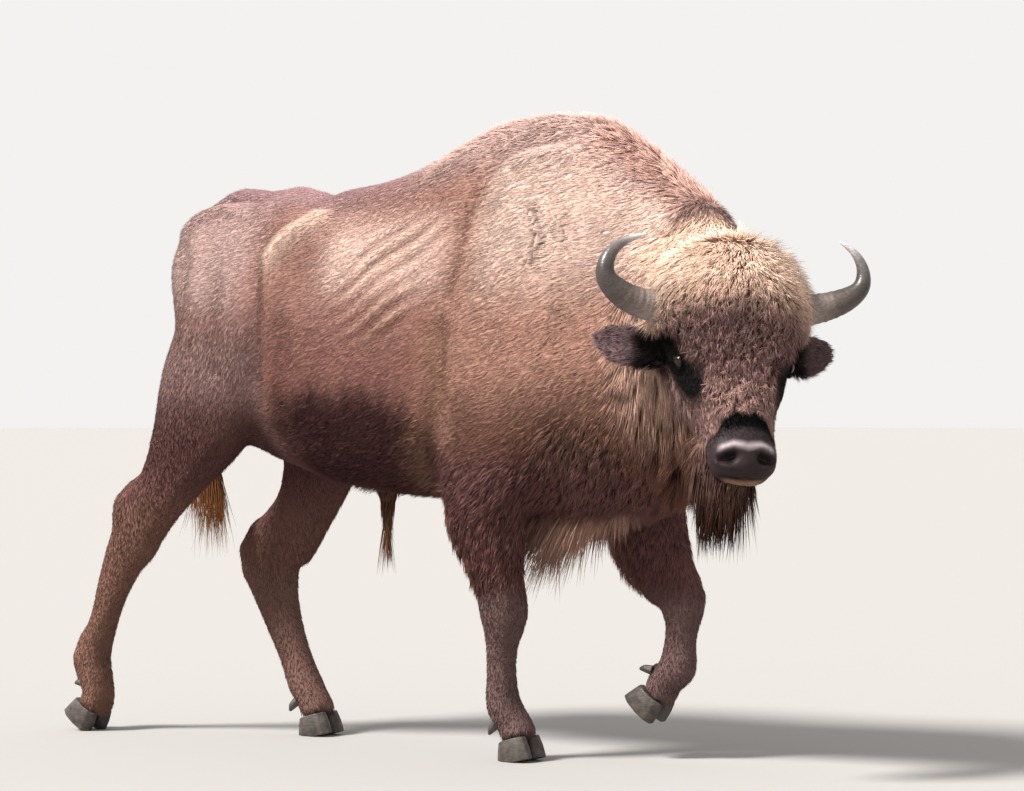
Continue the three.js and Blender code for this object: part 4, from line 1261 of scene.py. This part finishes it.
class Coating:
    """Grows the coat on the skin, piece by piece."""

    ring_limits: tuple[tuple[float, float, int], ...] = ((0.0, 0.036, 1), (0.036, 0.105, 2),
                                                         (0.105, 9.0, 3))
    gather: float = 0.62

    def __init__(self, skin: Skin, seed: int = 7) -> None:
        """Reads the skin as triangles and sorts them into the coat's pieces.

        Args:
            skin: What the coat grows on.
            seed: Starts the small differences between tufts.
        """
        self.skin = skin
        self.rng = np.random.default_rng(seed)
        mesh = skin.object.data
        mesh.calc_loop_triangles()
        found = np.empty(len(mesh.loop_triangles) * 3, np.int32)
        mesh.loop_triangles.foreach_get("vertices", found)
        self.triangles = found.reshape(-1, 3)
        a, b, c = (skin.hide.place[self.triangles[:, k]] for k in range(3))
        self.area = np.linalg.norm(np.cross(b - a, c - a), axis=1) / 2
        self.owner = np.zeros(len(self.triangles), int)
        middles = skin.hide.middles(self.triangles)
        for index, area in enumerate(AREAS):
            self.owner[area.where(middles)] = index

    def _unwrapped(self, chosen: Array) -> Array:
        """The map places of some of the skin's triangles, unwrapped along the skin's own shape.

        Args:
            chosen: The triangles' numbers.

        Returns:
            Three map places for each triangle.
        """
        used, local = np.unique(self.triangles[chosen], return_inverse=True)
        mesh = bpy.data.meshes.new("unwrap")
        mesh.from_pydata(self.skin.hide.place[used].tolist(), [],
                         local.reshape(-1, 3).tolist())
        piece = added("unwrap", mesh)
        pick(piece)
        with editing():
            bpy.ops.uv.smart_project(angle_limit=math.radians(75), island_margin=0.004)
        uv = np.empty(len(mesh.loops) * 2, np.float32)
        mesh.uv_layers.active.data.foreach_get("uv", uv)
        bpy.data.objects.remove(piece)
        bpy.data.meshes.remove(mesh)
        return np.clip(uv.reshape(-1, 3, 2).astype(float), 0.003, 0.997)

    def _locks(self, root: Array, clump: Array, density: Array) -> tuple[Array, Array]:
        """Gathers tufts into locks.

        Args:
            root: Where each tuft grows.
            clump: How wide its lock is.
            density: How many tufts grow on a square metre there.

        Returns:
            For each tuft the number of the one in the middle of its lock, and the way to its root.
        """
        share = 1.0 / np.maximum(density * clump**2, 1.0)
        middles = np.flatnonzero(self.rng.random(len(root)) < share)
        if not len(middles):
            return np.arange(len(root)), np.zeros_like(root)
        tree = KDTree(len(middles))
        for index in middles:
            tree.insert(root[index], int(index))
        tree.balance()
        nearest = np.array([tree.find(place)[1] for place in root])
        return nearest, root[nearest] - root

    def _roots(self, chosen: Array) -> Tufts:
        """Spreads tufts over some of the skin's triangles, as dense as the coat is there.

        Args:
            chosen: The triangles' numbers.

        Returns:
            The tufts, one row each.
        """
        coat = self.skin.coat
        rng = self.rng
        corner = self.triangles[chosen]
        density = coat.numbers["density"][corner].mean(1)
        expected = self.area[chosen] * density
        number = np.floor(expected + rng.random(len(expected))).astype(int)
        row = np.repeat(np.arange(len(chosen)), number)
        share = rng.dirichlet((1.0, 1.0, 1.0), len(row))
        map_places = self._unwrapped(chosen)[row]

        def at(values: Array) -> Array:
            """What the skin's vertices hold, read at each root."""
            return np.einsum("nk,nk...->n...", share, values[corner[row]])

        numbers = {name: at(coat.numbers[name]) for name in COAT_NUMBERS}
        root = at(self.skin.hide.place)
        normal = unit(at(self.skin.hide.normal))
        flow = at(self.skin.flow)
        flow = unit(flow - normal * (flow * normal).sum(1, keepdims=True))
        lock, pull = self._locks(root, numbers["clump"], numbers["density"])
        curl = numbers["curl"][:, None]
        stray = (rng.normal(0, 1, (len(row), 1))[lock] * (0.10 + 0.42 * curl)
                 + rng.normal(0, 1, (len(row), 1)) * (0.06 + 0.16 * curl))
        flow = unit(flow + np.cross(normal, flow) * stray)
        vary = np.exp(rng.normal(0, 0.12, len(row))[lock] + rng.normal(0, 0.14, len(row)))
        uneven = 0.045 + 0.10 * numbers["curl"]
        shade = np.exp(uneven * (rng.normal(0, 1, len(row))[lock] + rng.normal(0, 1, len(row))))
        rise = np.exp(rng.normal(0, 0.16, len(row))[lock] + rng.normal(0, 0.16, len(row)))
        gather = self.gather * np.clip(numbers["length"] / 0.050, 0.15, 1.0) ** 1.5
        return Tufts(
            root=root, normal=normal, flow=flow, pull=pull * gather[:, None],
            colour=at(coat.colour) * shade[:, None], tip=at(coat.tip) * shade[:, None],
            length=numbers["length"] * np.clip(vary, 0.6, 1.35),
            width=numbers["width"] * np.exp(rng.normal(0, 0.15, len(row))),
            lift=np.clip(numbers["lift"] * rise + at(self.skin.raised), 3, 70),
            curl=numbers["curl"], droop=numbers["droop"],
            spot=np.einsum("nk,nkd->nd", share, map_places),
        )

    def grow(self, area: Area) -> bpy.types.Object:
        """Makes one piece of the coat.

        Args:
            area: Which one.

        Returns:
            The finished piece.
        """
        chosen = np.flatnonzero(self.owner == AREAS.index(area))
        tufts = self._roots(chosen)
        made: list[tuple[Array, ...]] = []
        start = 0
        for low, high, rings in self.ring_limits:
            some = tufts.chosen((tufts.length >= low) & (tufts.length < high))
            if len(some.root):
                vertices, faces, uv, colours = tuft_shapes(some, rings, self.rng)
                made.append((vertices, faces + start, uv, colours))
                start += len(vertices)
        vertices, faces, uv, colours = (np.concatenate(rows) for rows in zip(*made))
        piece = triangle_mesh(area.name, vertices, faces, uv, colours)
        piece.data.materials.append(COAT_FINISH.material())
        if area.stands_for:
            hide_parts(*area.stands_for)
        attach(piece, "root")
        log.info("%s: %.2f m2, %d tufts, %d triangles", area.name, self.area[chosen].sum(),
                 len(tufts.root), len(faces))
        return piece


# --- Finishes -------------------------------------------------------------------------------------------


class Nodes:
    """Makes a material's nodes by short calls."""

    def __init__(self, name: str) -> None:
        """Starts an empty material of that name."""
        self.material = bpy.data.materials.new(name)
        self.material.use_nodes = True
        self.tree = self.material.node_tree
        self.tree.nodes.clear()
        self.shader = self.add("ShaderNodeBsdfPrincipled")
        output = self.add("ShaderNodeOutputMaterial")
        self.link(self.shader.outputs[0], output.inputs[0])

    def add(self, kind: str, **settings: object) -> bpy.types.Node:
        """One node with its settings."""
        node = self.tree.nodes.new(kind)
        for name, value in settings.items():
            setattr(node, name, value)
        return node

    def link(self, source: bpy.types.NodeSocket, target: bpy.types.NodeSocket) -> None:
        """A wire from an output to an input."""
        self.tree.links.new(source, target)

    def attribute(self, name: str) -> bpy.types.Node:
        """What a piece stores under a name at each vertex."""
        return self.add("ShaderNodeAttribute", attribute_name=name)

    def noise(self, scale: tuple[float, float, float], detail: float = 3.0) -> bpy.types.NodeSocket:
        """Noise on the piece's own places, with its scale along each axis."""
        place = self.add("ShaderNodeTexCoord")
        stretch = self.add("ShaderNodeMapping")
        stretch.inputs["Scale"].default_value = scale
        noise = self.add("ShaderNodeTexNoise")
        noise.inputs["Scale"].default_value = 1.0
        noise.inputs["Detail"].default_value = detail
        self.link(place.outputs["Object"], stretch.inputs["Vector"])
        self.link(stretch.outputs[0], noise.inputs["Vector"])
        return noise.outputs[0]

    def spread(self, value: bpy.types.NodeSocket, low: float, high: float,
               source: tuple[float, float] = (0.3, 0.7)) -> bpy.types.NodeSocket:
        """A value carried from its own range to low..high."""
        node = self.add("ShaderNodeMapRange")
        self.link(value, node.inputs["Value"])
        for socket, number in zip(("From Min", "From Max", "To Min", "To Max"),
                                  (*source, low, high)):
            node.inputs[socket].default_value = number
        return node.outputs[0]

    def mix(self, kind: str, share: float | bpy.types.NodeSocket, a: object,
            b: object) -> bpy.types.NodeSocket:
        """Two colours mixed in the given way."""
        node = self.add("ShaderNodeMix", data_type="RGBA", blend_type=kind)
        for value, socket in ((share, node.inputs[0]), (a, node.inputs[6]), (b, node.inputs[7])):
            if isinstance(value, bpy.types.NodeSocket):
                self.link(value, socket)
            elif isinstance(value, tuple):
                socket.default_value = (*value, 1.0)
            else:
                socket.default_value = value
        return node.outputs[2]

    def blend(self, share: bpy.types.NodeSocket, a: bpy.types.NodeSocket,
              b: bpy.types.NodeSocket) -> bpy.types.NodeSocket:
        """Two numbers mixed by a third."""
        node = self.add("ShaderNodeMix", data_type="FLOAT")
        self.link(share, node.inputs[0])
        self.link(a, node.inputs[2])
        self.link(b, node.inputs[3])
        return node.outputs[0]

    def bump(self, height: bpy.types.NodeSocket, distance: float) -> None:
        """Relief from a height, on the shader's normal."""
        node = self.add("ShaderNodeBump")
        node.inputs["Distance"].default_value = distance
        self.link(height, node.inputs["Height"])
        self.link(node.outputs[0], self.shader.inputs["Normal"])


@dataclass(frozen=True)
class Finish:
    """A surface as it is felt and seen; each kind adds its own nodes."""

    name: str
    gloss: float = 0.25
    wet: float = 0.0

    def start(self) -> Nodes:
        """The nodes with the numbers that are the same all over."""
        nodes = Nodes(self.name)
        sockets = nodes.shader.inputs
        sockets["Specular IOR Level"].default_value = self.gloss
        sockets["Coat Weight"].default_value = self.wet
        sockets["Coat Roughness"].default_value = 0.05
        return nodes

    def material(self) -> bpy.types.Material:
        """The finished material, made once."""
        made = bpy.data.materials.get(self.name)
        return made or self.build(self.start())

    def build(self, nodes: Nodes) -> bpy.types.Material:
        """Adds this kind's own nodes."""
        raise NotImplementedError


@dataclass(frozen=True)
class HideFinish(Finish):
    """The skin: short lying hair as relief, and bare leathery muzzle and eye rims."""

    def build(self, nodes: Nodes) -> bpy.types.Material:
        """Streaks along the coat, pebbles on the bare parts."""
        along = nodes.noise((70, 430, 430))
        down = nodes.noise((430, 430, 70))
        streak = nodes.blend(nodes.attribute("upright").outputs["Fac"], along, down)
        bare = nodes.attribute("bare").outputs["Fac"]
        pebble = nodes.noise((330, 330, 330), 2.0)
        tint = nodes.spread(streak, 0.84, 1.14)
        patchy = nodes.spread(nodes.noise((60, 60, 60)), 0.85, 1.15)
        even = nodes.blend(bare, tint, patchy)
        marking = nodes.attribute("marking").outputs["Color"]
        colour = nodes.mix("MULTIPLY", 1.0, marking, even)
        nodes.link(colour, nodes.shader.inputs["Base Color"])
        rough = nodes.spread(bare, 0.85, 0.50, (0.0, 1.0))
        nodes.link(rough, nodes.shader.inputs["Roughness"])
        nodes.bump(nodes.blend(bare, streak, pebble), 0.0010)
        return nodes.material


@dataclass(frozen=True)
class CoatFinish(Finish):
    """Hair in tufts: its colour from root to tip, with painted shade at the root, and fine strands."""

    def build(self, nodes: Nodes) -> bpy.types.Material:
        """Strand lines and slow changes over the marking."""
        strand = nodes.spread(nodes.noise((420, 420, 420), 2.0), 0.78, 1.22)
        slow = nodes.spread(nodes.noise((8, 8, 8), 4.0), 0.82, 1.20)
        marking = nodes.attribute("marking").outputs["Color"]
        colour = nodes.mix("MULTIPLY", 1.0, marking, strand)
        nodes.link(nodes.mix("MULTIPLY", 1.0, colour, slow), nodes.shader.inputs["Base Color"])
        rough = nodes.spread(nodes.noise((90, 90, 90)), 0.62, 0.80)
        nodes.link(rough, nodes.shader.inputs["Roughness"])
        return nodes.material


@dataclass(frozen=True)
class HornFinish(Finish):
    """Keratin: pale and fibrous at the base, dark at the bend, smooth at the tip; the tip's pale colour is
    a painted reflection, and the inside of the bend has painted shade.
    """

    def build(self, nodes: Nodes) -> bpy.types.Material:
        """Colour by the place along the horn, with long fibres and rings."""
        along = nodes.attribute("along").outputs["Fac"]
        ramp = nodes.add("ShaderNodeValToRGB")
        # The palest stop, at the tip, is a painted reflection on the smooth horn.
        stops = ((0.0, "5a5049"), (0.20, "847871"), (0.42, "4a3f3b"), (0.62, "332d2a"),
                 (0.82, "615b59"), (1.0, "c6c0c0"))
        ramp.color_ramp.elements[0].color = (*tone(stops[0][1]), 1)
        ramp.color_ramp.elements[1].color = (*tone(stops[-1][1]), 1)
        for at, code in stops[1:-1]:
            ramp.color_ramp.elements.new(at).color = (*tone(code), 1)
        nodes.link(along, ramp.inputs["Fac"])
        fibre = nodes.noise((60, 240, 240), 4.0)
        flecks = nodes.spread(fibre, 0.70, 1.30)
        # Painted shade on the inside of the bend, darkened to half there.
        inner = nodes.spread(nodes.attribute("inner").outputs["Fac"], 1.12, 0.50, (0.0, 1.0))
        colour = nodes.mix("MULTIPLY", 1.0, ramp.outputs["Color"], flecks)
        nodes.link(nodes.mix("MULTIPLY", 1.0, colour, inner), nodes.shader.inputs["Base Color"])
        rough = nodes.spread(along, 0.62, 0.26, (0.25, 0.75))
        nodes.link(rough, nodes.shader.inputs["Roughness"])
        nodes.bump(fibre, 0.0009)
        return nodes.material


@dataclass(frozen=True)
class HoofFinish(Finish):
    """Dark hoof horn with fine rings and paler worn patches."""

    def build(self, nodes: Nodes) -> bpy.types.Material:
        """Rings across the wall, over worn patches."""
        rings = nodes.noise((40, 40, 420), 3.0)
        worn = nodes.spread(nodes.noise((55, 55, 55)), 0.0, 1.0)
        colour = nodes.mix("MIX", worn, tone("2b2624"), tone("4c443f"))
        lines = nodes.spread(rings, 0.75, 1.25)
        nodes.link(nodes.mix("MULTIPLY", 1.0, colour, lines), nodes.shader.inputs["Base Color"])
        nodes.link(nodes.spread(rings, 0.42, 0.62), nodes.shader.inputs["Roughness"])
        nodes.bump(rings, 0.0008)
        return nodes.material


@dataclass(frozen=True)
class EyeFinish(Finish):
    """A wet eye: dark brown iris, wide level pupil, dark white at the rim."""

    def build(self, nodes: Nodes) -> bpy.types.Material:
        """Colour by the ring stored on the eyeball."""
        iris = nodes.attribute("iris").outputs["Fac"]
        pupil = nodes.attribute("pupil").outputs["Fac"]
        brown = nodes.mix("MIX", nodes.spread(nodes.noise((700, 700, 700)), 0, 1),
                          tone("1a0d07"), tone("2c170b"))
        ball = nodes.mix("MIX", iris, tone("1e1715"), brown)
        nodes.link(nodes.mix("MIX", pupil, ball, tone("040303")), nodes.shader.inputs["Base Color"])
        nodes.shader.inputs["Roughness"].default_value = 0.08
        return nodes.material


@dataclass(frozen=True)
class FloorFinish(Finish):
    """A plain pale studio floor."""

    def build(self, nodes: Nodes) -> bpy.types.Material:
        """One pale colour."""
        nodes.shader.inputs["Base Color"].default_value = (*tone("989694"), 1)
        nodes.shader.inputs["Roughness"].default_value = 0.9
        return nodes.material


HIDE_FINISH = HideFinish("hide finish", gloss=0.14)
COAT_FINISH = CoatFinish("coat finish", gloss=0.05)
HORN_FINISH = HornFinish("horn finish", gloss=0.45)
HOOF_FINISH = HoofFinish("hoof finish", gloss=0.40)
EYE_FINISH = EyeFinish("eye finish", gloss=0.12, wet=0.40)
FLOOR_FINISH = FloorFinish("floor finish", gloss=0.1)


# --- Eyes, horns and hooves -------------------------------------------------------------------------------


@dataclass(frozen=True)
class Eye:
    """One eyeball with its swelling cornea and level pupil."""

    side: Side
    cornea: float = 0.0022
    iris: float = 0.62
    pupil: tuple[float, float] = (0.34, 0.15)

    def build(self) -> bpy.types.Object:
        """Makes the eyeball and stores where its iris and pupil are."""
        centre = FACE.matrix @ Vector(eye_centre(self.side))
        deselect()
        bpy.ops.mesh.primitive_uv_sphere_add(segments=72, ring_count=48, radius=EYE_RADIUS,
                                             location=centre)
        bpy.ops.object.transform_apply(location=True, rotation=True, scale=True)
        eye = bpy.context.object
        name = f"eye_{self.side.name.lower()}"
        eye.name = f"{name}_ball"
        mesh = eye.data
        co = corners_of(mesh)
        way = unit(co - np.array(centre))
        gaze = unit(FACE.turned(gaze_of(self.side)))[0]
        level = unit(np.cross(np.array([[0.0, 0.0, 1.0]]), gaze[None]))[0]
        rise = np.cross(gaze, level)
        out = way @ gaze
        ring = np.sqrt(np.clip(1 - out**2, 0, 1))
        front = (out > 0).astype(float)
        bulge = self.cornea * fade(ring, self.iris + 0.08, 0.1) * front
        set_corners(mesh, co + way * bulge[:, None])
        slot = np.sqrt(((way @ level) / self.pupil[0]) ** 2 + ((way @ rise) / self.pupil[1]) ** 2)
        weigh(mesh, "iris", fade(ring, self.iris + 0.06, self.iris - 0.02) * front)
        weigh(mesh, "pupil", fade(slot, 1.15, 0.85) * front)
        shade_smooth(mesh)
        mesh.materials.append(EYE_FINISH.material())
        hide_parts(name)
        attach(eye, "root")
        log.info("%s: %d faces", eye.name, len(mesh.polygons))
        return eye


HORN_LINES: dict[Side, Path] = {
    Side.LEFT: ((-0.058, 0.135, HORN_ROOT_HEIGHT[Side.LEFT]),
                (-0.052, 0.222, 0.157), (-0.038, 0.292, 0.180), (-0.030, 0.347, 0.220),
                (-0.034, 0.350, 0.272), (-0.044, 0.325, 0.316), (-0.052, 0.289, 0.340)),
    Side.RIGHT: ((-0.058, 0.135, HORN_ROOT_HEIGHT[Side.RIGHT]),
                 (-0.052, 0.222, 0.140), (-0.038, 0.292, 0.160), (-0.030, 0.349, 0.206),
                 (-0.034, 0.341, 0.264), (-0.044, 0.296, 0.304), (-0.052, 0.240, 0.324)),
}


@dataclass(frozen=True)
class Horn:
    """One horn, curving out, up and in, ringed at its base and smooth at its tip."""

    side: Side
    ring_height: float = 0.0016

    def build(self) -> bpy.types.Object:
        """Rounds a copy of the horn's solid and gives it its rings."""
        name = f"horn_{self.side.name.lower()}"
        horn = copy_node(name, f"{name}_keratin")
        pick(horn)
        with editing():
            bpy.ops.mesh.tris_convert_to_quads(face_threshold=math.radians(50),
                                               shape_threshold=math.radians(60))
        rounding = horn.modifiers.new("round", "SUBSURF")
        rounding.levels = rounding.render_levels = 3
        bpy.ops.object.modifier_apply(modifier=rounding.name)
        mesh = horn.data
        co = corners_of(mesh)
        level = LEVEL_HEAD.inside(co)
        level[:, 1] *= self.side.value
        along, inner = self._placing(level)
        normal = normals_of(mesh)
        wave = np.sin(along * 150) * 0.6 + np.sin(along * 83 + 1.0) * 0.4
        push = self.ring_height * wave * fade(along, 0.60, 0.22) + 0.0012
        set_corners(mesh, co + normal * push[:, None])
        weigh(mesh, "along", along)
        # The inside of the bend, which the finish darkens as painted shade.
        weigh(mesh, "inner", inner)
        shade_smooth(mesh)
        mesh.materials.append(HORN_FINISH.material())
        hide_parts(name)
        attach(horn, "root")
        log.info("%s: %d faces", horn.name, len(mesh.polygons))
        return horn

    def _placing(self, level: Array) -> tuple[Array, Array]:
        """How far along the horn each point lies, and how far on the inside of its bend.

        Args:
            level: Places in the level head's frame, mirrored to the left side.

        Returns:
            0 at the base to 1 at the tip, and 0 outside to 1 inside the bend.
        """
        spine = np.array(HORN_LINES[self.side])
        lengths = np.linalg.norm(np.diff(spine, axis=0), axis=1)
        starts = np.concatenate([[0], np.cumsum(lengths)])
        best = np.full(len(level), 1e9)
        along = np.zeros(len(level))
        off = np.zeros_like(level)
        for k, length in enumerate(lengths):
            run = (spine[k + 1] - spine[k]) / length
            t = np.clip((level - spine[k]) @ run, 0, length)
            gap = level - (spine[k] + t[:, None] * run)
            dist = np.linalg.norm(gap, axis=1)
            closer = dist < best
            best = np.where(closer, dist, best)
            along = np.where(closer, (starts[k] + t) / starts[-1], along)
            off = np.where(closer[:, None], gap, off)
        centre = np.array([-0.04, 0.265, 0.235])
        towards = unit(centre - level)
        return along, fade((unit(off) * towards).sum(1), -0.2, 0.8) * between(along, 0.3, 0.75, 0.12)


@dataclass(frozen=True)
class Foot:
    """The claws and dewclaws of one leg, with rounded edges."""

    leg: str
    edge: float = 0.0045

    def build(self) -> list[bpy.types.Object]:
        """Rounds a copy of each claw and dewclaw."""
        made = []
        for kind, edge in (("hoof", self.edge), ("dewclaw", 0.002)):
            for place in ("inner", "outer"):
                name = f"{kind}_{self.leg}_{place}"
                claw = copy_node(name, f"{name}_horn")
                bevel = claw.modifiers.new("edge", "BEVEL")
                bevel.width = edge
                bevel.segments = 3
                bevel.limit_method = "ANGLE"
                bevel.angle_limit = math.radians(24)
                pick(claw)
                bpy.ops.object.modifier_apply(modifier=bevel.name)
                bpy.ops.object.shade_smooth_by_angle(angle=math.radians(50))
                claw.data.materials.append(HOOF_FINISH.material())
                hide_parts(name)
                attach(claw, "root")
                made.append(claw)
        log.info("foot %s: %d pieces", self.leg, len(made))
        return made


# --- Studio -----------------------------------------------------------------------------------------------


@dataclass(frozen=True)
class Studio:
    """Floor, light and camera."""

    azimuth: float = 35.0
    elevation: float = 0.373
    distance: float = 10.0
    lens: float = 126.9
    aim: tuple[float, float, float] = (0.26130, 0.01474, 1.010)
    sun_power: float = 8.0
    sky_power: float = 0.90

    def build(self) -> None:
        """Makes the camera, the floor and the lights."""
        self._camera()
        self._floor()
        self._lights()

    def _camera(self) -> None:
        """Sets the camera at its side of the animal."""
        a, e = math.radians(self.azimuth), math.radians(self.elevation)
        back = Vector((math.sin(a) * math.cos(e), -math.cos(a) * math.cos(e), math.sin(e)))
        data = bpy.data.cameras.new("camera")
        data.lens = self.lens
        data.sensor_width = 36.0
        data.clip_start, data.clip_end = 0.1, 500.0
        camera = added("camera", data)
        camera.location = Vector(self.aim) + back * self.distance
        camera.rotation_euler = (-back).to_track_quat("-Z", "Y").to_euler()
        bpy.context.scene.camera = camera

    def _floor(self) -> None:
        """Lays a wide pale floor."""
        deselect()
        bpy.ops.mesh.primitive_circle_add(vertices=96, radius=60, fill_type="NGON",
                                          location=(0, 0, 0))
        floor = bpy.context.object
        floor.name = "floor"
        floor.data.materials.append(FLOOR_FINISH.material())

    def _lights(self) -> None:
        """A soft high sun and an even pale sky."""
        sun = bpy.data.lights.new("sun", "SUN")
        sun.energy = self.sun_power
        sun.angle = math.radians(14)
        sun.color = (1.0, 0.97, 0.93)
        lamp = added("sun", sun)
        towards = Vector((-0.30, -0.60, 0.74))
        lamp.rotation_euler = towards.to_track_quat("Z", "Y").to_euler()
        world = bpy.data.worlds.new("sky")
        world.use_nodes = True
        back = world.node_tree.nodes["Background"]
        back.inputs["Color"].default_value = (1.0, 0.985, 0.965, 1)
        back.inputs["Strength"].default_value = self.sky_power
        bpy.context.scene.world = world
        bpy.context.scene.view_settings.view_transform = "Standard"


def main() -> None:
    """Builds the animal and its studio in order."""
    logging.basicConfig(level=logging.INFO, format="%(name)s %(message)s")
    Studio().build()
    skin = Skin()
    coating = Coating(skin)
    for area in AREAS:
        coating.grow(area)
    for side in Side:
        Eye(side).build()
        Horn(side).build()
    for leg in ("left_fore", "right_fore", "left_hind", "right_hind"):
        Foot(leg).build()


if __name__ == "__main__":
    main()
